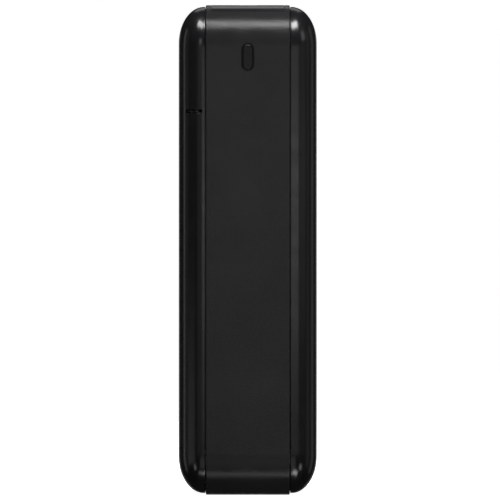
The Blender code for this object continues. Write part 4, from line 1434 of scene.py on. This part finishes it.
@dataclass
class Studio:
    """The pale floor and backdrop, the lights and the camera."""

    camera_distance: float = 2.40
    camera_x: float = 0.00065
    camera_z: float = 0.0710
    lens: float = 598.8
    sweep_radius: float = 0.35
    sweep_size: float = 6.0
    sweep_segments: int = 96
    sweep_steps: int = 12
    room_grey: float = 0.5
    room_strength: float = 0.025

    def build(self) -> None:
        """Set up the stage, the lights and the camera."""
        low, high = CAD_BOX
        self.backdrop(low.z)
        for box in SOFT_BOXES:
            box.place((low + high) / 2)
        self.surround()
        self.camera(low)
        bpy.context.scene.view_settings.view_transform = "Standard"
        LOG.info("studio: %d lights", len(SOFT_BOXES))

    def backdrop(self, floor_z: float) -> None:
        """A pale floor that curves up into a wall all round.

        Args:
            floor_z: The height of the floor.
        """
        bm = bmesh.new()
        bmesh.ops.create_circle(bm, cap_ends=True, segments=self.sweep_segments, radius=self.sweep_size)
        rim = [edge for edge in bm.edges if edge.is_boundary]
        for step in range(1, self.sweep_steps + 1):
            before = math.radians(90.0 * (step - 1) / self.sweep_steps)
            now = math.radians(90.0 * step / self.sweep_steps)
            rim, verts = pull(bm, rim)
            grow = self.sweep_radius * (math.sin(now) - math.sin(before))
            lift = self.sweep_radius * (math.cos(before) - math.cos(now))
            for vert in verts:
                flat = Vector((vert.co.x, vert.co.y, 0.0)).normalized()
                vert.co += flat * grow + Vector((0.0, 0.0, lift))
        _, verts = pull(bm, rim)
        bmesh.ops.translate(bm, vec=(0.0, 0.0, self.sweep_size), verts=verts)
        mesh = finished_mesh(bm, "pale_sweep", Matrix.Translation((0.0, 0.0, floor_z - TINY)))
        mesh.shade_smooth()
        mesh.materials.append(self.paper())
        sweep = add_object("pale_sweep", mesh)
        for ray in ("glossy", "diffuse", "transmission", "shadow"):
            setattr(sweep, "visible_" + ray, False)

    @staticmethod
    def paper() -> bpy.types.Material:
        """White paper, lit evenly."""
        recipe = Recipe("white_paper")
        return recipe.dress(Base_Color=(0.9, 0.9, 0.9, 1.0), Roughness=1.0, Specular_IOR_Level=0.0,
                            Emission_Color=(1.0, 1.0, 1.0, 1.0), Emission_Strength=1.0)

    def surround(self) -> None:
        """A dim grey room for what the lights leave dark."""
        world = bpy.data.worlds.new("dim_room")
        world.use_nodes = True
        ground = world.node_tree.nodes["Background"]
        ground.inputs["Color"].default_value = (self.room_grey, self.room_grey, self.room_grey, 1.0)
        ground.inputs["Strength"].default_value = self.room_strength
        bpy.context.scene.world = world

    def camera(self, low: Vector) -> None:
        """A long lens level with the pack's middle, in front of the button's side.

        Args:
            low: The pack's lowest corner.
        """
        eye = bpy.data.cameras.new("front_camera")
        eye.lens = self.lens
        eye.sensor_width = 36.0
        eye.clip_start = 0.01
        thing = add_object("front_camera", eye)
        thing.location = (self.camera_x, low.y - self.camera_distance, self.camera_z)
        thing.rotation_euler = Euler((math.radians(90.0), 0.0, 0.0))
        bpy.context.scene.camera = thing


def main() -> None:
    """Build the studio and every sub-assembly, and report each piece."""
    logging.basicConfig(level=logging.INFO, format="%(name)s %(message)s")
    wardrobe = Wardrobe()
    Studio().build()
    for kind in (Casing, PowerButton, Ports, Indicator, Interior):
        assembly = kind(wardrobe)
        assembly.build()
        LOG.info("%s: %d fine pieces", kind.__name__, len(assembly.pieces))


if __name__ == "__main__":
    main()
